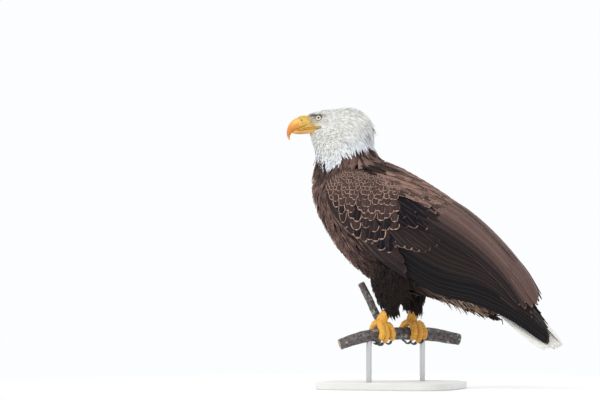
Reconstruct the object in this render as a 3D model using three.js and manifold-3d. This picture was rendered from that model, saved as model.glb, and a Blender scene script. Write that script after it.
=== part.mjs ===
// A bald eagle perched on a cut length of branch, as a still, life-size museum model on a plain stand.
// Millimetres, +Z up. The bird faces -X, and its left side is -Y. The origin is the centre of the
// stand's underside. The bird itself is laid out round the perch, PERCH_HEIGHT above that.
import * as THREE from "three";
import { mergeVertices } from "three/addons/utils/BufferGeometryUtils.js";
import Module from "manifold-3d";

const wasm = await Module();
wasm.setup();

// ---------------------------------------------------------------- driving dimensions
const PERCH_HEIGHT = 118; // the perch's axis above the floor, under the feet
const GAP = 0.35; // clearance between neighbouring pieces
const DEG = Math.PI / 180;

// The body axis runs from the shoulders down to the tail, in the bird's mid plane.
const SHOULDERS = { x: -98, z: 309 };
const AXIS_SLOPE = 36.5 * DEG;
const TRUNK_END = 428;
const WING_TIP = 562;
const RIGHT_WING_SHORTER = 24; // the right wing is folded a little further
const TAIL_TIP = 580;

// The head is turned to the bird's left about an upright line through the neck.
const HEAD_TURN = 18 * DEG;
const HEAD_PIVOT_X = -105;
const TURN_STARTS_Z = 290;
const TURN_ENDS_Z = 385;

const EYE = { x: -161, y: 16.5, z: 464, radius: 9.6 };

const PERCH_RADIUS = 14;
const FOOT_HALF_SPREAD = 46;
const PERCH_MIDDLE_X = 9;
const NEAR_FOOT = new THREE.Vector3(PERCH_MIDDLE_X - 21, -FOOT_HALF_SPREAD, 0);
const FAR_FOOT = new THREE.Vector3(PERCH_MIDDLE_X + 21, FOOT_HALF_SPREAD, 0);

const BASE = { length: 300, width: 240, thickness: 16, corner: 60, edge: 2 };
const ROD_RADIUS = 6;

// ---------------------------------------------------------------- colours
const material = (color, roughness, metalness = 0) =>
  new THREE.MeshStandardMaterial({ color, roughness, metalness });
const WHITE_PLUMAGE = material(0xf0efe9, 0.8);
const BROWN_PLUMAGE = material(0x4a362b, 0.8);
const DARK_QUILL = material(0x241d1c, 0.65);
const DARK_PLUMAGE = material(0x33251f, 0.85);
const BILL_HORN = material(0xf2a11f, 0.35);
const CERE_SKIN = material(0xf0bd2a, 0.45);
const EYE_GLASS = material(0xe9dfae, 0.1);
const FOOT_SKIN = material(0xe9a030, 0.55);
const TALON_HORN = material(0x17140f, 0.3);
const BARK = material(0x8d8478, 0.9);
const BASE_PAINT = material(0xc9c7c2, 0.6);
const ROD_STEEL = material(0x8f9296, 0.35, 1);

// ---------------------------------------------------------------- shaping helpers

// A three.js geometry as a solid, turned the right way out if its shaping mirrored it.
function solidOf(geometry) {
  const bare = geometry.clone();
  bare.deleteAttribute("normal");
  bare.deleteAttribute("uv");
  const merged = mergeVertices(bare, 1e-4);
  const build = (triVerts) =>
    new wasm.Manifold(
      new wasm.Mesh({
        numProp: 3,
        vertProperties: new Float32Array(merged.attributes.position.array),
        triVerts,
      }),
    );
  const faces = new Uint32Array(merged.index.array);
  const made = build(faces);
  if (made.volume() > 0) return made;
  return build(faces.reverse());
}

// A solid as a three.js geometry. A cut can leave crumbs, so only the largest body is kept.
function geometryOf(solid) {
  const bodies = solid.decompose();
  const largest = bodies.reduce((a, b) => (b.volume() > a.volume() ? b : a));
  const mesh = largest.getMesh();
  const geometry = new THREE.BufferGeometry();
  geometry.setAttribute("position", new THREE.BufferAttribute(mesh.vertProperties.slice(), 3));
  geometry.setIndex(new THREE.BufferAttribute(mesh.triVerts.slice(), 1));
  geometry.computeVertexNormals();
  return geometry;
}

// Moves every vertex of a geometry by a function of its place.
function reshape(geometry, move) {
  const places = geometry.attributes.position;
  const point = new THREE.Vector3();
  for (let i = 0; i < places.count; i += 1) {
    const moved = move(point.fromBufferAttribute(places, i));
    places.setXYZ(i, moved.x, moved.y, moved.z);
  }
  return geometry;
}

const smoothstep = (low, high, value) => THREE.MathUtils.smoothstep(value, low, high);
const lerp = THREE.MathUtils.lerp;

// A smooth value read off a short list of [position, value, value, ...] stations.
function along(stations, position, column) {
  const last = stations.length - 1;
  let i = 0;
  while (i < last - 1 && position > stations[i + 1][0]) i += 1;
  const slope = (k) => {
    const a = stations[Math.max(k - 1, 0)];
    const b = stations[Math.min(k + 1, last)];
    return (b[column] - a[column]) / (b[0] - a[0]);
  };
  const [from, to] = [stations[i], stations[i + 1]];
  const width = to[0] - from[0];
  const t = THREE.MathUtils.clamp((position - from[0]) / width, 0, 1);
  const [t2, t3] = [t * t, t * t * t];
  return (
    (2 * t3 - 3 * t2 + 1) * from[column] +
    (t3 - 2 * t2 + t) * width * slope(i) +
    (3 * t2 - 2 * t3) * to[column] +
    (t3 - t2) * width * slope(i + 1)
  );
}

// A closed body round a curved line. Each station is [x, y, z, half height, half width]. side is the
// direction of the half width, ends is how much of the length rounds off, first and last, and grow
// swells the body so that it can cut a clearance into a neighbour. flat leaves both ends cut square.
function bodyAlong(stations, options = {}) {
  const { side, ends = [0.12, 0.12], around = 20, rows = 16, grow = 0, ring, flat } = options;
  const sideways = side ?? new THREE.Vector3(0, 1, 0);
  const line = new THREE.CatmullRomCurve3(stations.map(([x, y, z]) => new THREE.Vector3(x, y, z)));
  const sizes = new THREE.CatmullRomCurve3(
    stations.map((s) => new THREE.Vector3(s[3], s[4], 0)),
    false,
    "catmullrom",
  );
  const rounding = (t) => {
    const [first, last] = ends;
    const shortfall = Math.max(1 - t / first, 1 - (1 - t) / last, 0);
    return Math.sqrt(Math.max(0, 1 - shortfall * shortfall));
  };
  const ball = new THREE.SphereGeometry(1, around, rows);
  return solidOf(
    reshape(ball, (p) => {
      const share = Math.acos(THREE.MathUtils.clamp(p.y, -1, 1)) / Math.PI;
      const margin = flat ? 1 / rows : 0;
      const t = THREE.MathUtils.clamp((share - margin) / (1 - 2 * margin), 0, 1);
      const turn = Math.atan2(p.z, p.x);
      const tangent = line.getTangent(t).normalize();
      const across = sideways.clone().addScaledVector(tangent, -tangent.dot(sideways)).normalize();
      const up = tangent.clone().cross(across);
      const size = sizes.getPoint(t);
      const cap = flat ? Math.hypot(p.x, p.z) > 1e-6 : rounding(t);
      const [upward, sideward] = ring
        ? ring(Math.cos(turn), Math.sin(turn), t)
        : [Math.cos(turn), Math.sin(turn)];
      const pole = share < 1e-6 ? -grow : share > 1 - 1e-6 ? grow : 0;
      return line
        .getPoint(t)
        .addScaledVector(tangent, pole)
        .addScaledVector(up, upward * cap * (size.x + grow))
        .addScaledVector(across, sideward * cap * (size.y + grow));
    }),
  );
}

// A point of the bird from its distance along the body axis, height square to it, and side offset.
function onAxis(s, h, y = 0) {
  return new THREE.Vector3(
    SHOULDERS.x + s * Math.cos(AXIS_SLOPE) + h * Math.sin(AXIS_SLOPE),
    y,
    SHOULDERS.z - s * Math.sin(AXIS_SLOPE) + h * Math.cos(AXIS_SLOPE),
  );
}

// Turns a point with the head, fully above TURN_ENDS_Z and less and less down the neck.
function turnWithHead(p) {
  const angle = HEAD_TURN * smoothstep(TURN_STARTS_Z, TURN_ENDS_Z, p.z);
  const x = p.x - HEAD_PIVOT_X;
  return new THREE.Vector3(
    HEAD_PIVOT_X + x * Math.cos(angle) - p.y * Math.sin(angle),
    x * Math.sin(angle) + p.y * Math.cos(angle),
    p.z,
  );
}

const turned = (solid) =>
  solid.warp((v) => {
    const p = turnWithHead(new THREE.Vector3(...v));
    [v[0], v[1], v[2]] = [p.x, p.y, p.z];
  });

const mirrored = (solid) => solid.mirror([0, 1, 0]);
const join = (...solids) => solids.reduce((a, b) => a.add(b));
const cut = (solid, ...cutters) => cutters.reduce((a, b) => a.subtract(b), solid);

// ---------------------------------------------------------------- trunk
// [along the axis, top, bottom, half width], feathers and all.
const TRUNK = [
  [-88, 34, -14, 22],
  [-66, 62, -42, 50],
  [-28, 88, -70, 73],
  [25, 101, -95, 83],
  [85, 108, -117, 86],
  [145, 115, -123, 84],
  [200, 118, -112, 77],
  [255, 104, -88, 63],
  [305, 82, -70, 46],
  [345, 62, -57, 34],
  [388, 36, -41, 26],
  [TRUNK_END, 24, -20, 14],
];

function trunk(grow = 0) {
  const stations = TRUNK.map(([s, top, bottom, half]) => {
    const centre = onAxis(s, (top + bottom) / 2);
    return [centre.x, 0, centre.z, (top - bottom) / 2, half];
  });
  return bodyAlong(stations, { ends: [0.1, 0.06], around: 22, rows: 18, grow });
}

// ---------------------------------------------------------------- neck and head
// [height, front, back, half width]
const NECK = [
  [286, -150, -22, 64],
  [325, -164, -14, 66],
  [352, -166, -22, 62],
  [378, -163, -34, 57],
  [400, -168, -44, 52],
  [422, -178, -45, 47],
  [446, -177, -50, 38],
  [466, -150, -70, 28],
];

function neck(grow = 0) {
  const stations = NECK.map(([z, front, back, half]) => [
    (front + back) / 2,
    0,
    z,
    (back - front) / 2,
    half,
  ]);
  return turned(bodyAlong(stations, { ends: [0.1, 0.2], around: 20, rows: 11, grow }));
}

// [along the head, top, bottom, half width]
const HEAD = [
  [-190, 464, 435, 11],
  [-182, 468, 428, 15],
  [-172, 474.5, 423, 21.5],
  [-160, 480, 420, 27.5],
  [-145, 484, 416, 32],
  [-125, 487.5, 404, 37.5],
  [-100, 489, 396, 42],
  [-76, 483, 398, 41],
  [-57, 467, 408, 34],
  [-45, 447, 416, 22],
  [-38, 434, 422, 9],
];

function skull(grow = 0) {
  const stations = HEAD.map(([x, top, bottom, half]) => [
    x,
    0,
    (top + bottom) / 2,
    (top - bottom) / 2,
    half,
  ]);
  return turned(bodyAlong(stations, { ends: [0.05, 0.08], around: 20, rows: 17, grow }));
}

// The bony ridge that overhangs each eye.
function brow(side) {
  const stations = [
    [-182, side * 9.5, 470, 2.4, 2.8],
    [-172, side * 15.5, 473, 3.6, 4.2],
    [-161, side * 20.5, 475, 4.2, 5.2],
    [-150, side * 23, 475, 3.8, 5.2],
    [-137, side * 24.5, 472.5, 2.8, 4],
  ];
  return turned(bodyAlong(stations, { around: 6, rows: 6 }));
}

function eyeball(side, grow = 0) {
  const ball = new THREE.SphereGeometry(EYE.radius + grow, 14, 10);
  ball.translate(EYE.x, side * EYE.y, EYE.z);
  return turned(solidOf(ball));
}

// ---------------------------------------------------------------- bill
const BILL_SIDE = new THREE.Vector3(0, -1, 0);

// Narrow along the culmen and full at the cutting edge.
const billRing = (up, side) => [up, side * (1 - 0.22 * up)];

function upperBill(grow = 0) {
  const stations = [
    [-181, 0, 455, 12.6, 13.6],
    [-195, 0, 455, 13, 13],
    [-208, 0, 451.5, 12.2, 11],
    [-218.5, 0, 443.5, 9.4, 8.4],
    [-224.2, 0, 433.5, 5.8, 5.4],
    [-225.6, 0, 424.5, 3, 3],
    [-223.6, 0, 417.5, 1.3, 1.4],
  ];
  const shape = { side: BILL_SIDE, ends: [0.05, 0.08], around: 14, rows: 16, ring: billRing };
  return turned(bodyAlong(stations, { ...shape, grow }));
}

// The soft yellow skin over the root of the bill, and the lip that runs back under the eye.
function cere() {
  const sheath = bodyAlong(
    [
      [-178, 0, 455.5, 13, 14],
      [-190, 0, 455.8, 14, 14.2],
      [-198, 0, 455.2, 13.9, 13.6],
      [-203, 0, 454, 12.9, 12],
    ],
    { side: BILL_SIDE, ends: [0.05, 0.12], around: 14, rows: 6, ring: billRing },
  );
  const lip = (side) =>
    bodyAlong(
      [
        [-204, side * 9.5, 444, 1.9, 2.4],
        [-190, side * 13.2, 444.5, 2.4, 2.6],
        [-176, side * 18.6, 445.2, 2.6, 2.6],
        [-165, side * 23.2, 445.6, 2.4, 2.6],
        [-157, side * 26.4, 445, 1.9, 2.2],
      ],
      { around: 6, rows: 6 },
    );
  return turned(join(sheath, lip(1), lip(-1)));
}

function lowerBill(grow = 0) {
  const stations = [
    [-172, 0, 436, 5, 15.5],
    [-184, 0, 436.2, 5.6, 12.6],
    [-197, 0, 435.2, 5.6, 10],
    [-209, 0, 434.2, 4.8, 7.6],
    [-217, 0, 434.4, 3.2, 4.8],
  ];
  return turned(bodyAlong(stations, { side: BILL_SIDE, ends: [0.05, 0.25], around: 12, rows: 9, grow }));
}

// ---------------------------------------------------------------- wings
// The folded wings lie on this hull round the body axis: [along, top, bottom, half width].
const HULL = [
  [-60, 58, -52, 64],
  [-30, 84, -80, 88],
  [20, 100, -112, 102],
  [80, 109, -130, 106],
  [140, 117, -136, 104],
  [200, 121, -136, 97],
  [260, 122, -130, 87],
  [320, 117, -120, 77],
  [390, 102, -110, 69],
  [450, 78, -104, 63],
  [500, 50, -98, 60],
  [550, 41, -92, 57],
  [600, 34, -86, 54],
];

// A point of the left wing's surface, lifted off the hull by out.
function onHull(s, h, out = 0) {
  const [top, bottom, half] = [1, 2, 3].map((column) => along(HULL, s, column));
  const [middle, tall] = [(top + bottom) / 2, (top - bottom) / 2];
  const share = THREE.MathUtils.clamp((h - middle) / tall, -0.995, 0.995);
  const y = half * Math.sqrt(1 - share * share);
  const normal = new THREE.Vector2(share / tall, y / (half * half)).normalize();
  return onAxis(s, middle + share * tall + normal.x * out, -y - normal.y * out);
}

// The wing's outline in the side view, as [along, lower edge, upper edge].
const WING_EDGES = [
  [-20, -12, 20],
  [0, -24, 52],
  [25, -35, 70],
  [60, -46, 84],
  [110, -54, 98],
  [170, -64, 109],
  [230, -60, 115],
  [290, -60, 113],
  [350, -43, 106],
  [400, -27, 98],
  [450, -11, 81],
  [500, 1, 50],
  [530, 7, 40],
  [WING_TIP, 13, 32],
];
const lowerEdge = (s) => along(WING_EDGES, s, 1);
const upperEdge = (s) => along(WING_EDGES, s, 2);

// Where the coverts give way to the flight feathers, at a share v of the wing's height.
const covertsEnd = (v) => 205 + 45 * v - 30 * Math.sin(Math.PI * v);
// The line between the primaries below and the secondaries above, as a height.
const primariesTop = (s) => lerp(lowerEdge(s), upperEdge(s), lerp(0.3, 0.62, smoothstep(230, 470, s)));

// Rounded tips for a row of count feathers, as a share of a step back from the longest reach.
const scallop = (v, count) => {
  const across = (v * count) % 1;
  return Math.pow(Math.abs(2 * across - 1), 2.5);
};

// A closed sheet on the hull. place maps (u, v) from 0 to 1 to [along, height], lift gives its two faces.
function sheetOnHull(columns, rows, place, lift) {
  const block = new THREE.BoxGeometry(1, 1, 1, columns, rows, 1);
  return solidOf(
    reshape(block, (p) => {
      const [u, v, w] = [p.x + 0.5, p.y + 0.5, p.z + 0.5];
      const [s, h] = place(u, v);
      const [inner, outer] = lift(u, v);
      return onHull(s, h, lerp(inner, outer, w));
    }),
  );
}

// The shoulder and its coverts, thick over the arm and thin at every edge.
const WRIST_BULGE = 22; // how far the bend of the wing stands forward of its top and bottom
const ARM_THICKNESS = 15;
const FRONT_TUCK = 10; // the front edge sinks into the breast feathers
const TOP_TUCK = 4; // and the top edge under the feathers of the back

function coverts() {
  const place = (u, v) => {
    const bulge = WRIST_BULGE * Math.sin(Math.PI * v);
    const s = lerp(lerp(-2, 4, v) - bulge, covertsEnd(v) - 5 * GAP, u);
    return [s, lerp(lowerEdge(s) + 1, upperEdge(s) - 1, v)];
  };
  const lift = (u, v) => {
    const arm = Math.sqrt(Math.max(0, Math.sin(Math.PI * v))) * (1 - 0.75 * u);
    const tuck = FRONT_TUCK * (1 - smoothstep(0, 0.3, u)) + TOP_TUCK * smoothstep(0.7, 1, v);
    return [-4 - ARM_THICKNESS * arm - tuck, -1.5 + 3 * Math.sin(Math.PI * v) * (1 - u) - tuck];
  };
  return sheetOnHull(10, 8, place, lift);
}

// The flight feathers lie flat, each overlapping the next by a step, and their tips are scalloped.
const FLIGHT_INNER = -5; // their inner face, inside the hull
const FEATHER_STEP = 1.6;
const SECONDARY_TIPS = { count: 8, lowest: 440, highest: 484, inner: 22, scallop: 14 };
const PRIMARY_TIPS = { count: 6, slant: 10, scallop: 12 };

function secondaries(shorter = 0) {
  const { count, lowest, highest, inner, scallop: depth } = SECONDARY_TIPS;
  const place = (u, v) => {
    const longest = lerp(lowest, highest, Math.sin((Math.PI / 2) * Math.min(1, v * 1.6)));
    const reach = longest - shorter - inner * smoothstep(0.8, 1, v) - depth * scallop(v, count);
    const s = lerp(covertsEnd(lerp(0.3, 1, v)) + GAP, reach, u);
    return [s, lerp(primariesTop(s) + 2 * GAP, upperEdge(s) - 1, v)];
  };
  const lift = (u, v) => [FLIGHT_INNER + 2 * u, -1.5 + FEATHER_STEP * ((v * count) % 1)];
  return sheetOnHull(5, count * 2, place, lift);
}

function primaries(shorter = 0) {
  const { count, slant, scallop: depth } = PRIMARY_TIPS;
  const place = (u, v) => {
    const reach = WING_TIP - shorter - slant * v - depth * scallop(v, count);
    const s = lerp(covertsEnd(0.3 * v) + GAP, reach, u);
    const top = s > 468 - shorter ? upperEdge(s) - 2 : primariesTop(s) - GAP;
    return [s, lerp(lowerEdge(s), top, v)];
  };
  const lift = (u, v) => [FLIGHT_INNER - 1.5 + 2 * u, -2.5 + FEATHER_STEP * ((v * count) % 1)];
  return sheetOnHull(7, count * 2, place, lift);
}

// ---------------------------------------------------------------- tail
const TAIL_ROOT = 300;
const TAIL_FEATHERS = 12;
// [along, ridge height, half width, drop to the outer edge]: a closed tail, roofed along its middle.
const TAIL = [
  [TAIL_ROOT, 50, 20, 24],
  [380, 47, 34, 38],
  [450, 40, 43, 44],
  [520, 31, 49, 36],
  [TAIL_TIP, 24.5, 50, 25],
];

function tail() {
  const block = new THREE.BoxGeometry(1, 1, 1, 5, TAIL_FEATHERS * 2, 1);
  return solidOf(
    reshape(block, (p) => {
      const [u, v, w] = [p.x + 0.5, p.y + 0.5, p.z + 0.5];
      const sideways = 2 * v - 1;
      const reach = TAIL_TIP - 10 * sideways * sideways - 8 * scallop(v, TAIL_FEATHERS);
      const s = lerp(TAIL_ROOT, reach, u);
      const away = Math.abs(sideways);
      const drop = along(TAIL, s, 3) * (0.4 * away + 0.6 * away * away);
      const thickness = lerp(7, 2.2, u);
      return onAxis(s, along(TAIL, s, 1) - drop + (w - 1) * thickness, sideways * along(TAIL, s, 2));
    }),
  );
}

// ---------------------------------------------------------------- legs and feet
const HIP_Z = 174;
const ANKLE = { behind: 34, z: 74 }; // the top of the bare shank, from the ball of the foot

// Feathered thigh, from the hem above the foot up into the body. side is -1 for the left leg.
function thigh(side, foot, grow = 0) {
  const lean = foot.x - NEAR_FOOT.x;
  const shape = [
    [12, 46, 16, 14],
    [12, 57, 21, 17],
    [11, 75, 31, 24],
    [13, 97, 43, 31],
    [17, 123, 51, 37],
    [23, 150, 52, 37],
    [28, HIP_Z, 42, 32],
  ];
  const stations = shape.map(([x, z, deep, wide]) => [
    x + (lean * (HIP_Z - z)) / HIP_Z,
    side * FOOT_HALF_SPREAD,
    z,
    deep,
    wide,
  ]);
  return bodyAlong(stations, { ends: [0.05, 0.2], around: 14, rows: 10, grow });
}

// Bare scaly shank, with the ball of the foot on top of the perch.
function shank(side, foot) {
  const lean = (foot.x - NEAR_FOOT.x) * (1 - ANKLE.z / HIP_Z);
  const top = new THREE.Vector3(NEAR_FOOT.x + lean + ANKLE.behind, side * FOOT_HALF_SPREAD, ANKLE.z);
  const stations = [0, 0.3, 0.65, 1].map((t, i) => [
    lerp(foot.x, top.x, t),
    lerp(foot.y, top.y, t),
    lerp(PERCH_RADIUS + 8, top.z, t),
    [12.5, 11, 11, 12][i],
    [12, 9.5, 9.5, 11][i],
  ]);
  const ball = bodyAlong(
    [
      [foot.x - 13, foot.y, PERCH_RADIUS + 6, 7, 12],
      [foot.x, foot.y, PERCH_RADIUS + 10, 9, 15],
      [foot.x + 14, foot.y, PERCH_RADIUS + 6, 7, 11],
    ],
    { around: 8, rows: 6, ends: [0.3, 0.3] },
  );
  return join(bodyAlong(stations, { around: 10, rows: 6, ends: [0.2, 0.05] }), ball);
}

// Each toe wraps the perch from the top: [swing from, swing to, claw to, offset from, to, claw to, girth].
// Swings are degrees round the perch, 90 on top and 0 straight ahead. Offsets run along the perch,
// from the bird's inner side outwards.
const TOES = {
  inner: [72, -34, -98, -8, -19, -21, 7.6],
  middle: [76, -54, -122, -1, -3, -6, 7.4],
  outer: [70, -40, -100, 8, 18, 20, 6.8],
  hind: [104, 192, 256, 1, 3, 7, 8],
};
const TOE_REACH = 10.5; // a knuckle's height over the perch
const CLAW_REACH = 5.2;

function roundPerch(foot, side, swing, reach, offset) {
  const alongPerch = perchDirection().multiplyScalar(side);
  const forward = new THREE.Vector3(0, 0, 1).cross(perchDirection()).normalize();
  const angle = swing * DEG;
  return foot
    .clone()
    .addScaledVector(forward, (PERCH_RADIUS + reach) * Math.cos(angle))
    .addScaledVector(new THREE.Vector3(0, 0, 1), (PERCH_RADIUS + reach) * Math.sin(angle))
    .addScaledVector(alongPerch, offset);
}

function toe(side, foot, [from, to, , start, end, , girth]) {
  const stations = [0, 0.2, 0.4, 0.6, 0.8, 1].map((t, i) => {
    const bump = i % 2 ? 0.8 : -0.2;
    const reach = TOE_REACH - 2.4 * t + bump;
    const p = roundPerch(foot, side, lerp(from, to, t), reach, lerp(start, end, Math.sqrt(t)));
    const size = girth * (1.05 - 0.25 * t) + bump * 0.4;
    return [p.x, p.y, p.z, size, size];
  });
  return bodyAlong(stations, { side: perchDirection(), around: 8, rows: 8, ends: [0.1, 0.1] });
}

function claw(side, foot, [, to, tip, , end, clawEnd, girth]) {
  const sign = Math.sign(to - tip);
  const stations = [0, 0.25, 0.5, 0.75, 1].map((t) => {
    const arch = 3.2 * Math.sin(Math.PI * Math.min(1, t * 1.1));
    const reach = lerp(TOE_REACH - 2, CLAW_REACH - 3, t) + arch;
    const p = roundPerch(foot, side, lerp(to + sign * 6, tip, t), reach, lerp(end, clawEnd, t));
    const size = lerp(girth * 0.72, 1, t ** 0.8);
    return [p.x, p.y, p.z, size, size * 0.85];
  });
  return bodyAlong(stations, { side: perchDirection(), around: 6, rows: 7, ends: [0.08, 0.06] });
}

// ---------------------------------------------------------------- perch
// [x, y, z, radius] of the crooked branch, from its far end to its near one.
const PERCH = [
  [PERCH_MIDDLE_X + 106, 128, -14, 12.5],
  [PERCH_MIDDLE_X + 58, 90, -3, 14.5],
  [FAR_FOOT.x, FAR_FOOT.y, 0, PERCH_RADIUS],
  [PERCH_MIDDLE_X, 0, 1, 13.4],
  [NEAR_FOOT.x, NEAR_FOOT.y, 0, PERCH_RADIUS],
  [PERCH_MIDDLE_X - 43, -80, -4, 13],
  [PERCH_MIDDLE_X - 65, -98, -11, 12.6],
  [PERCH_MIDDLE_X - 91, -110, -21, 11.5],
];

// The perch's direction at a foot, from the bird's right to its left.
const perchDirection = () => NEAR_FOOT.clone().sub(FAR_FOOT).normalize();

function perch(grow = 0) {
  const stations = PERCH.map(([x, y, z, radius]) => [x, y, z, radius, radius]);
  const side = new THREE.Vector3(0, 0, 1);
  return bodyAlong(stations, { side, around: 12, rows: 20, flat: true, grow });
}

// The broken side shoot that stands up in front of the belly.
function shoot() {
  const stations = [
    [PERCH_MIDDLE_X - 9, 0, 2, 10, 10],
    [-31, 1, 36, 8.8, 8.8],
    [-49, 2, 72, 8.3, 8.3],
    [-69, 3, 109, 7.8, 7.8],
  ];
  return bodyAlong(stations, { around: 10, rows: 8, flat: true });
}

// ---------------------------------------------------------------- stand
function base() {
  const { length, width, thickness, corner, edge } = BASE;
  const [a, b] = [length / 2 - edge, width / 2 - edge];
  const outline = new THREE.Shape();
  outline.moveTo(-a + corner, -b);
  outline.lineTo(a - corner, -b);
  outline.absarc(a - corner, -b + corner, corner, -Math.PI / 2, 0);
  outline.absarc(a - corner, b - corner, corner, 0, Math.PI / 2);
  outline.absarc(-a + corner, b - corner, corner, Math.PI / 2, Math.PI);
  outline.absarc(-a + corner, -b + corner, corner, Math.PI, (3 * Math.PI) / 2);
  const plate = new THREE.ExtrudeGeometry(outline, {
    depth: thickness - 2 * edge,
    bevelSize: edge,
    bevelThickness: edge,
    bevelSegments: 1,
    curveSegments: 5,
  });
  return solidOf(plate.translate(0, 0, edge));
}

// An upright steel rod at (x, y), from the top of the base up to a height.
function rod(x, y, top) {
  const bottom = BASE.thickness + GAP;
  const bar = new THREE.CylinderGeometry(ROD_RADIUS, ROD_RADIUS, top - bottom, 16);
  bar.rotateX(Math.PI / 2).translate(x, y, (top + bottom) / 2);
  return solidOf(bar);
}

// ---------------------------------------------------------------- assembly
const model = new THREE.Group();
const bird = new THREE.Group();
bird.position.z = PERCH_HEIGHT;
model.add(bird);

function add(name, solid, finish, group = bird) {
  const mesh = new THREE.Mesh(geometryOf(solid), finish);
  mesh.name = name;
  group.add(mesh);
}

const SIDES = [
  ["left", -1, NEAR_FOOT],
  ["right", 1, FAR_FOOT],
];

const wholeTrunk = trunk();
const trunkCutter = trunk(GAP);
const eyes = join(eyeball(-1, GAP), eyeball(1, GAP));
const cereSolid = cere();

// The neck meets the trunk, and the head meets the neck, on slanting cuts.
const wholeHead = join(skull(), brow(1), brow(-1));
const neckSolid = cut(neck(), trunkCutter, join(skull(GAP), brow(1), brow(-1)));
const billCutter = join(upperBill(GAP), lowerBill(GAP));

add("trunk", wholeTrunk, BROWN_PLUMAGE);
add("neck", cut(neckSolid, billCutter, cereSolid), WHITE_PLUMAGE);
add("head", cut(wholeHead, eyes, billCutter, cereSolid, trunkCutter), WHITE_PLUMAGE);
add("cere", cut(cereSolid, lowerBill(GAP), skull(-2), upperBill(GAP)), CERE_SKIN);
add("bill_upper", upperBill(), BILL_HORN);
add("bill_lower", cut(lowerBill(), upperBill(GAP)), BILL_HORN);

const wingFinish = { coverts: BROWN_PLUMAGE, secondaries: DARK_QUILL, primaries: DARK_QUILL };
const folded = (shorter) => ({
  coverts: coverts(),
  secondaries: secondaries(shorter),
  primaries: primaries(shorter),
});

add("tail", cut(tail(), trunkCutter), WHITE_PLUMAGE);
const tailCutter = tail();

const perchCutter = perch(GAP);
add("perch", perch(), BARK);
add("perch_shoot", cut(shoot(), perchCutter), BARK);

for (const [label, side, foot] of SIDES) {
  const place = side < 0 ? (s) => s : mirrored;
  const wing = folded(side < 0 ? 0 : RIGHT_WING_SHORTER);
  for (const [part, solid] of Object.entries(wing)) {
    add(`wing_${label}_${part}`, cut(place(solid), trunkCutter, tailCutter), wingFinish[part]);
  }
  add(`eye_${label}`, eyeball(side), EYE_GLASS);

  const thighSolid = cut(thigh(side, foot), trunkCutter, place(join(...Object.values(wing))));
  const shankSolid = cut(shank(side, foot), thigh(side, foot, GAP), perchCutter);
  add(`thigh_${label}`, thighSolid, DARK_PLUMAGE);
  add(`shank_${label}`, shankSolid, FOOT_SKIN);
  let taken = shankSolid;
  for (const [name, measures] of Object.entries(TOES)) {
    const toeSolid = cut(toe(side, foot, measures), perchCutter, taken);
    add(`toe_${label}_${name}`, toeSolid, FOOT_SKIN);
    taken = taken.add(toe(side, foot, measures));
    add(`talon_${label}_${name}`, cut(claw(side, foot, measures), perchCutter, taken), TALON_HORN);
  }
}

// Each rod runs up into the perch and is cut to fit its underside.
const ROD_PLACES = { far: [PERCH_MIDDLE_X + 40, 70], near: [PERCH_MIDDLE_X - 36, -74] };
const ROD_TOP = PERCH_HEIGHT - 6;
add("stand_base", base(), BASE_PAINT, model);
for (const [place, [x, y]] of Object.entries(ROD_PLACES)) {
  const cutter = perchCutter.translate([0, 0, PERCH_HEIGHT]);
  add(`stand_rod_${place}`, cut(rod(x, y, ROD_TOP), cutter), ROD_STEEL, model);
}

export default model;
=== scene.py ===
# %% [markdown]
# # A perched bald eagle, dressed feather by feather
# This notebook takes the plain solids of a life-size eagle model and gives them their looks: a skin, a
# bill, eyes, scaly feet and some thousands of feathers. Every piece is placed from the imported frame, so
# nothing is fitted by hand afterwards. Lengths are in metres, the bird faces -X and its left side is -Y.

# %% Load the frame
import math

import bmesh
import bpy
import numpy as np
from mathutils import Matrix, Vector
from mathutils import noise as shapes
from mathutils.bvhtree import BVHTree


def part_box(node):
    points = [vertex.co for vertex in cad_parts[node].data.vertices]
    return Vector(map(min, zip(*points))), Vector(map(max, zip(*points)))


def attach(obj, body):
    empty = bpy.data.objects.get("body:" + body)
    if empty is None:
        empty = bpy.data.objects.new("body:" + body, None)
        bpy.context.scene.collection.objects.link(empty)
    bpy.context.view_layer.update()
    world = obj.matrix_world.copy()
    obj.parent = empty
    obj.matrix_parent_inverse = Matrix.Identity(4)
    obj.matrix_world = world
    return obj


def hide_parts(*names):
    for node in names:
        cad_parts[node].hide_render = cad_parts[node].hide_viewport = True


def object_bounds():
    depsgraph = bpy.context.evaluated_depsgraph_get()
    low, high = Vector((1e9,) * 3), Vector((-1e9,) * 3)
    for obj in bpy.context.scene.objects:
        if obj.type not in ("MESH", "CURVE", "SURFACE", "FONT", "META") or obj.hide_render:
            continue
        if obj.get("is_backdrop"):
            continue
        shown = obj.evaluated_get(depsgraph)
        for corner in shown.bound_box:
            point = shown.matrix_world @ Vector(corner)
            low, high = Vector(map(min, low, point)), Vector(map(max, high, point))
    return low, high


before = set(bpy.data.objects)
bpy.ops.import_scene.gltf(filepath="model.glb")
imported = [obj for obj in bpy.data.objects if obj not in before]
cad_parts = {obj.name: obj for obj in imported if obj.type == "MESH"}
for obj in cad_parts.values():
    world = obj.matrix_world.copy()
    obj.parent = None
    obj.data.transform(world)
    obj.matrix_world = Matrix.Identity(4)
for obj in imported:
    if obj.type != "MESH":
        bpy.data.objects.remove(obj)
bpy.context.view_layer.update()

MM = 0.001
scene = bpy.context.scene

# %% [markdown]
# ## The bird's own directions
# A perched bird leans, so two sets of directions are useful. One runs along the body from the shoulders
# to the tail: a place on it is a distance along, a height square to that, and a side offset. The other
# belongs to the head, which is turned to the bird's left about an upright line through the neck.

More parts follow.
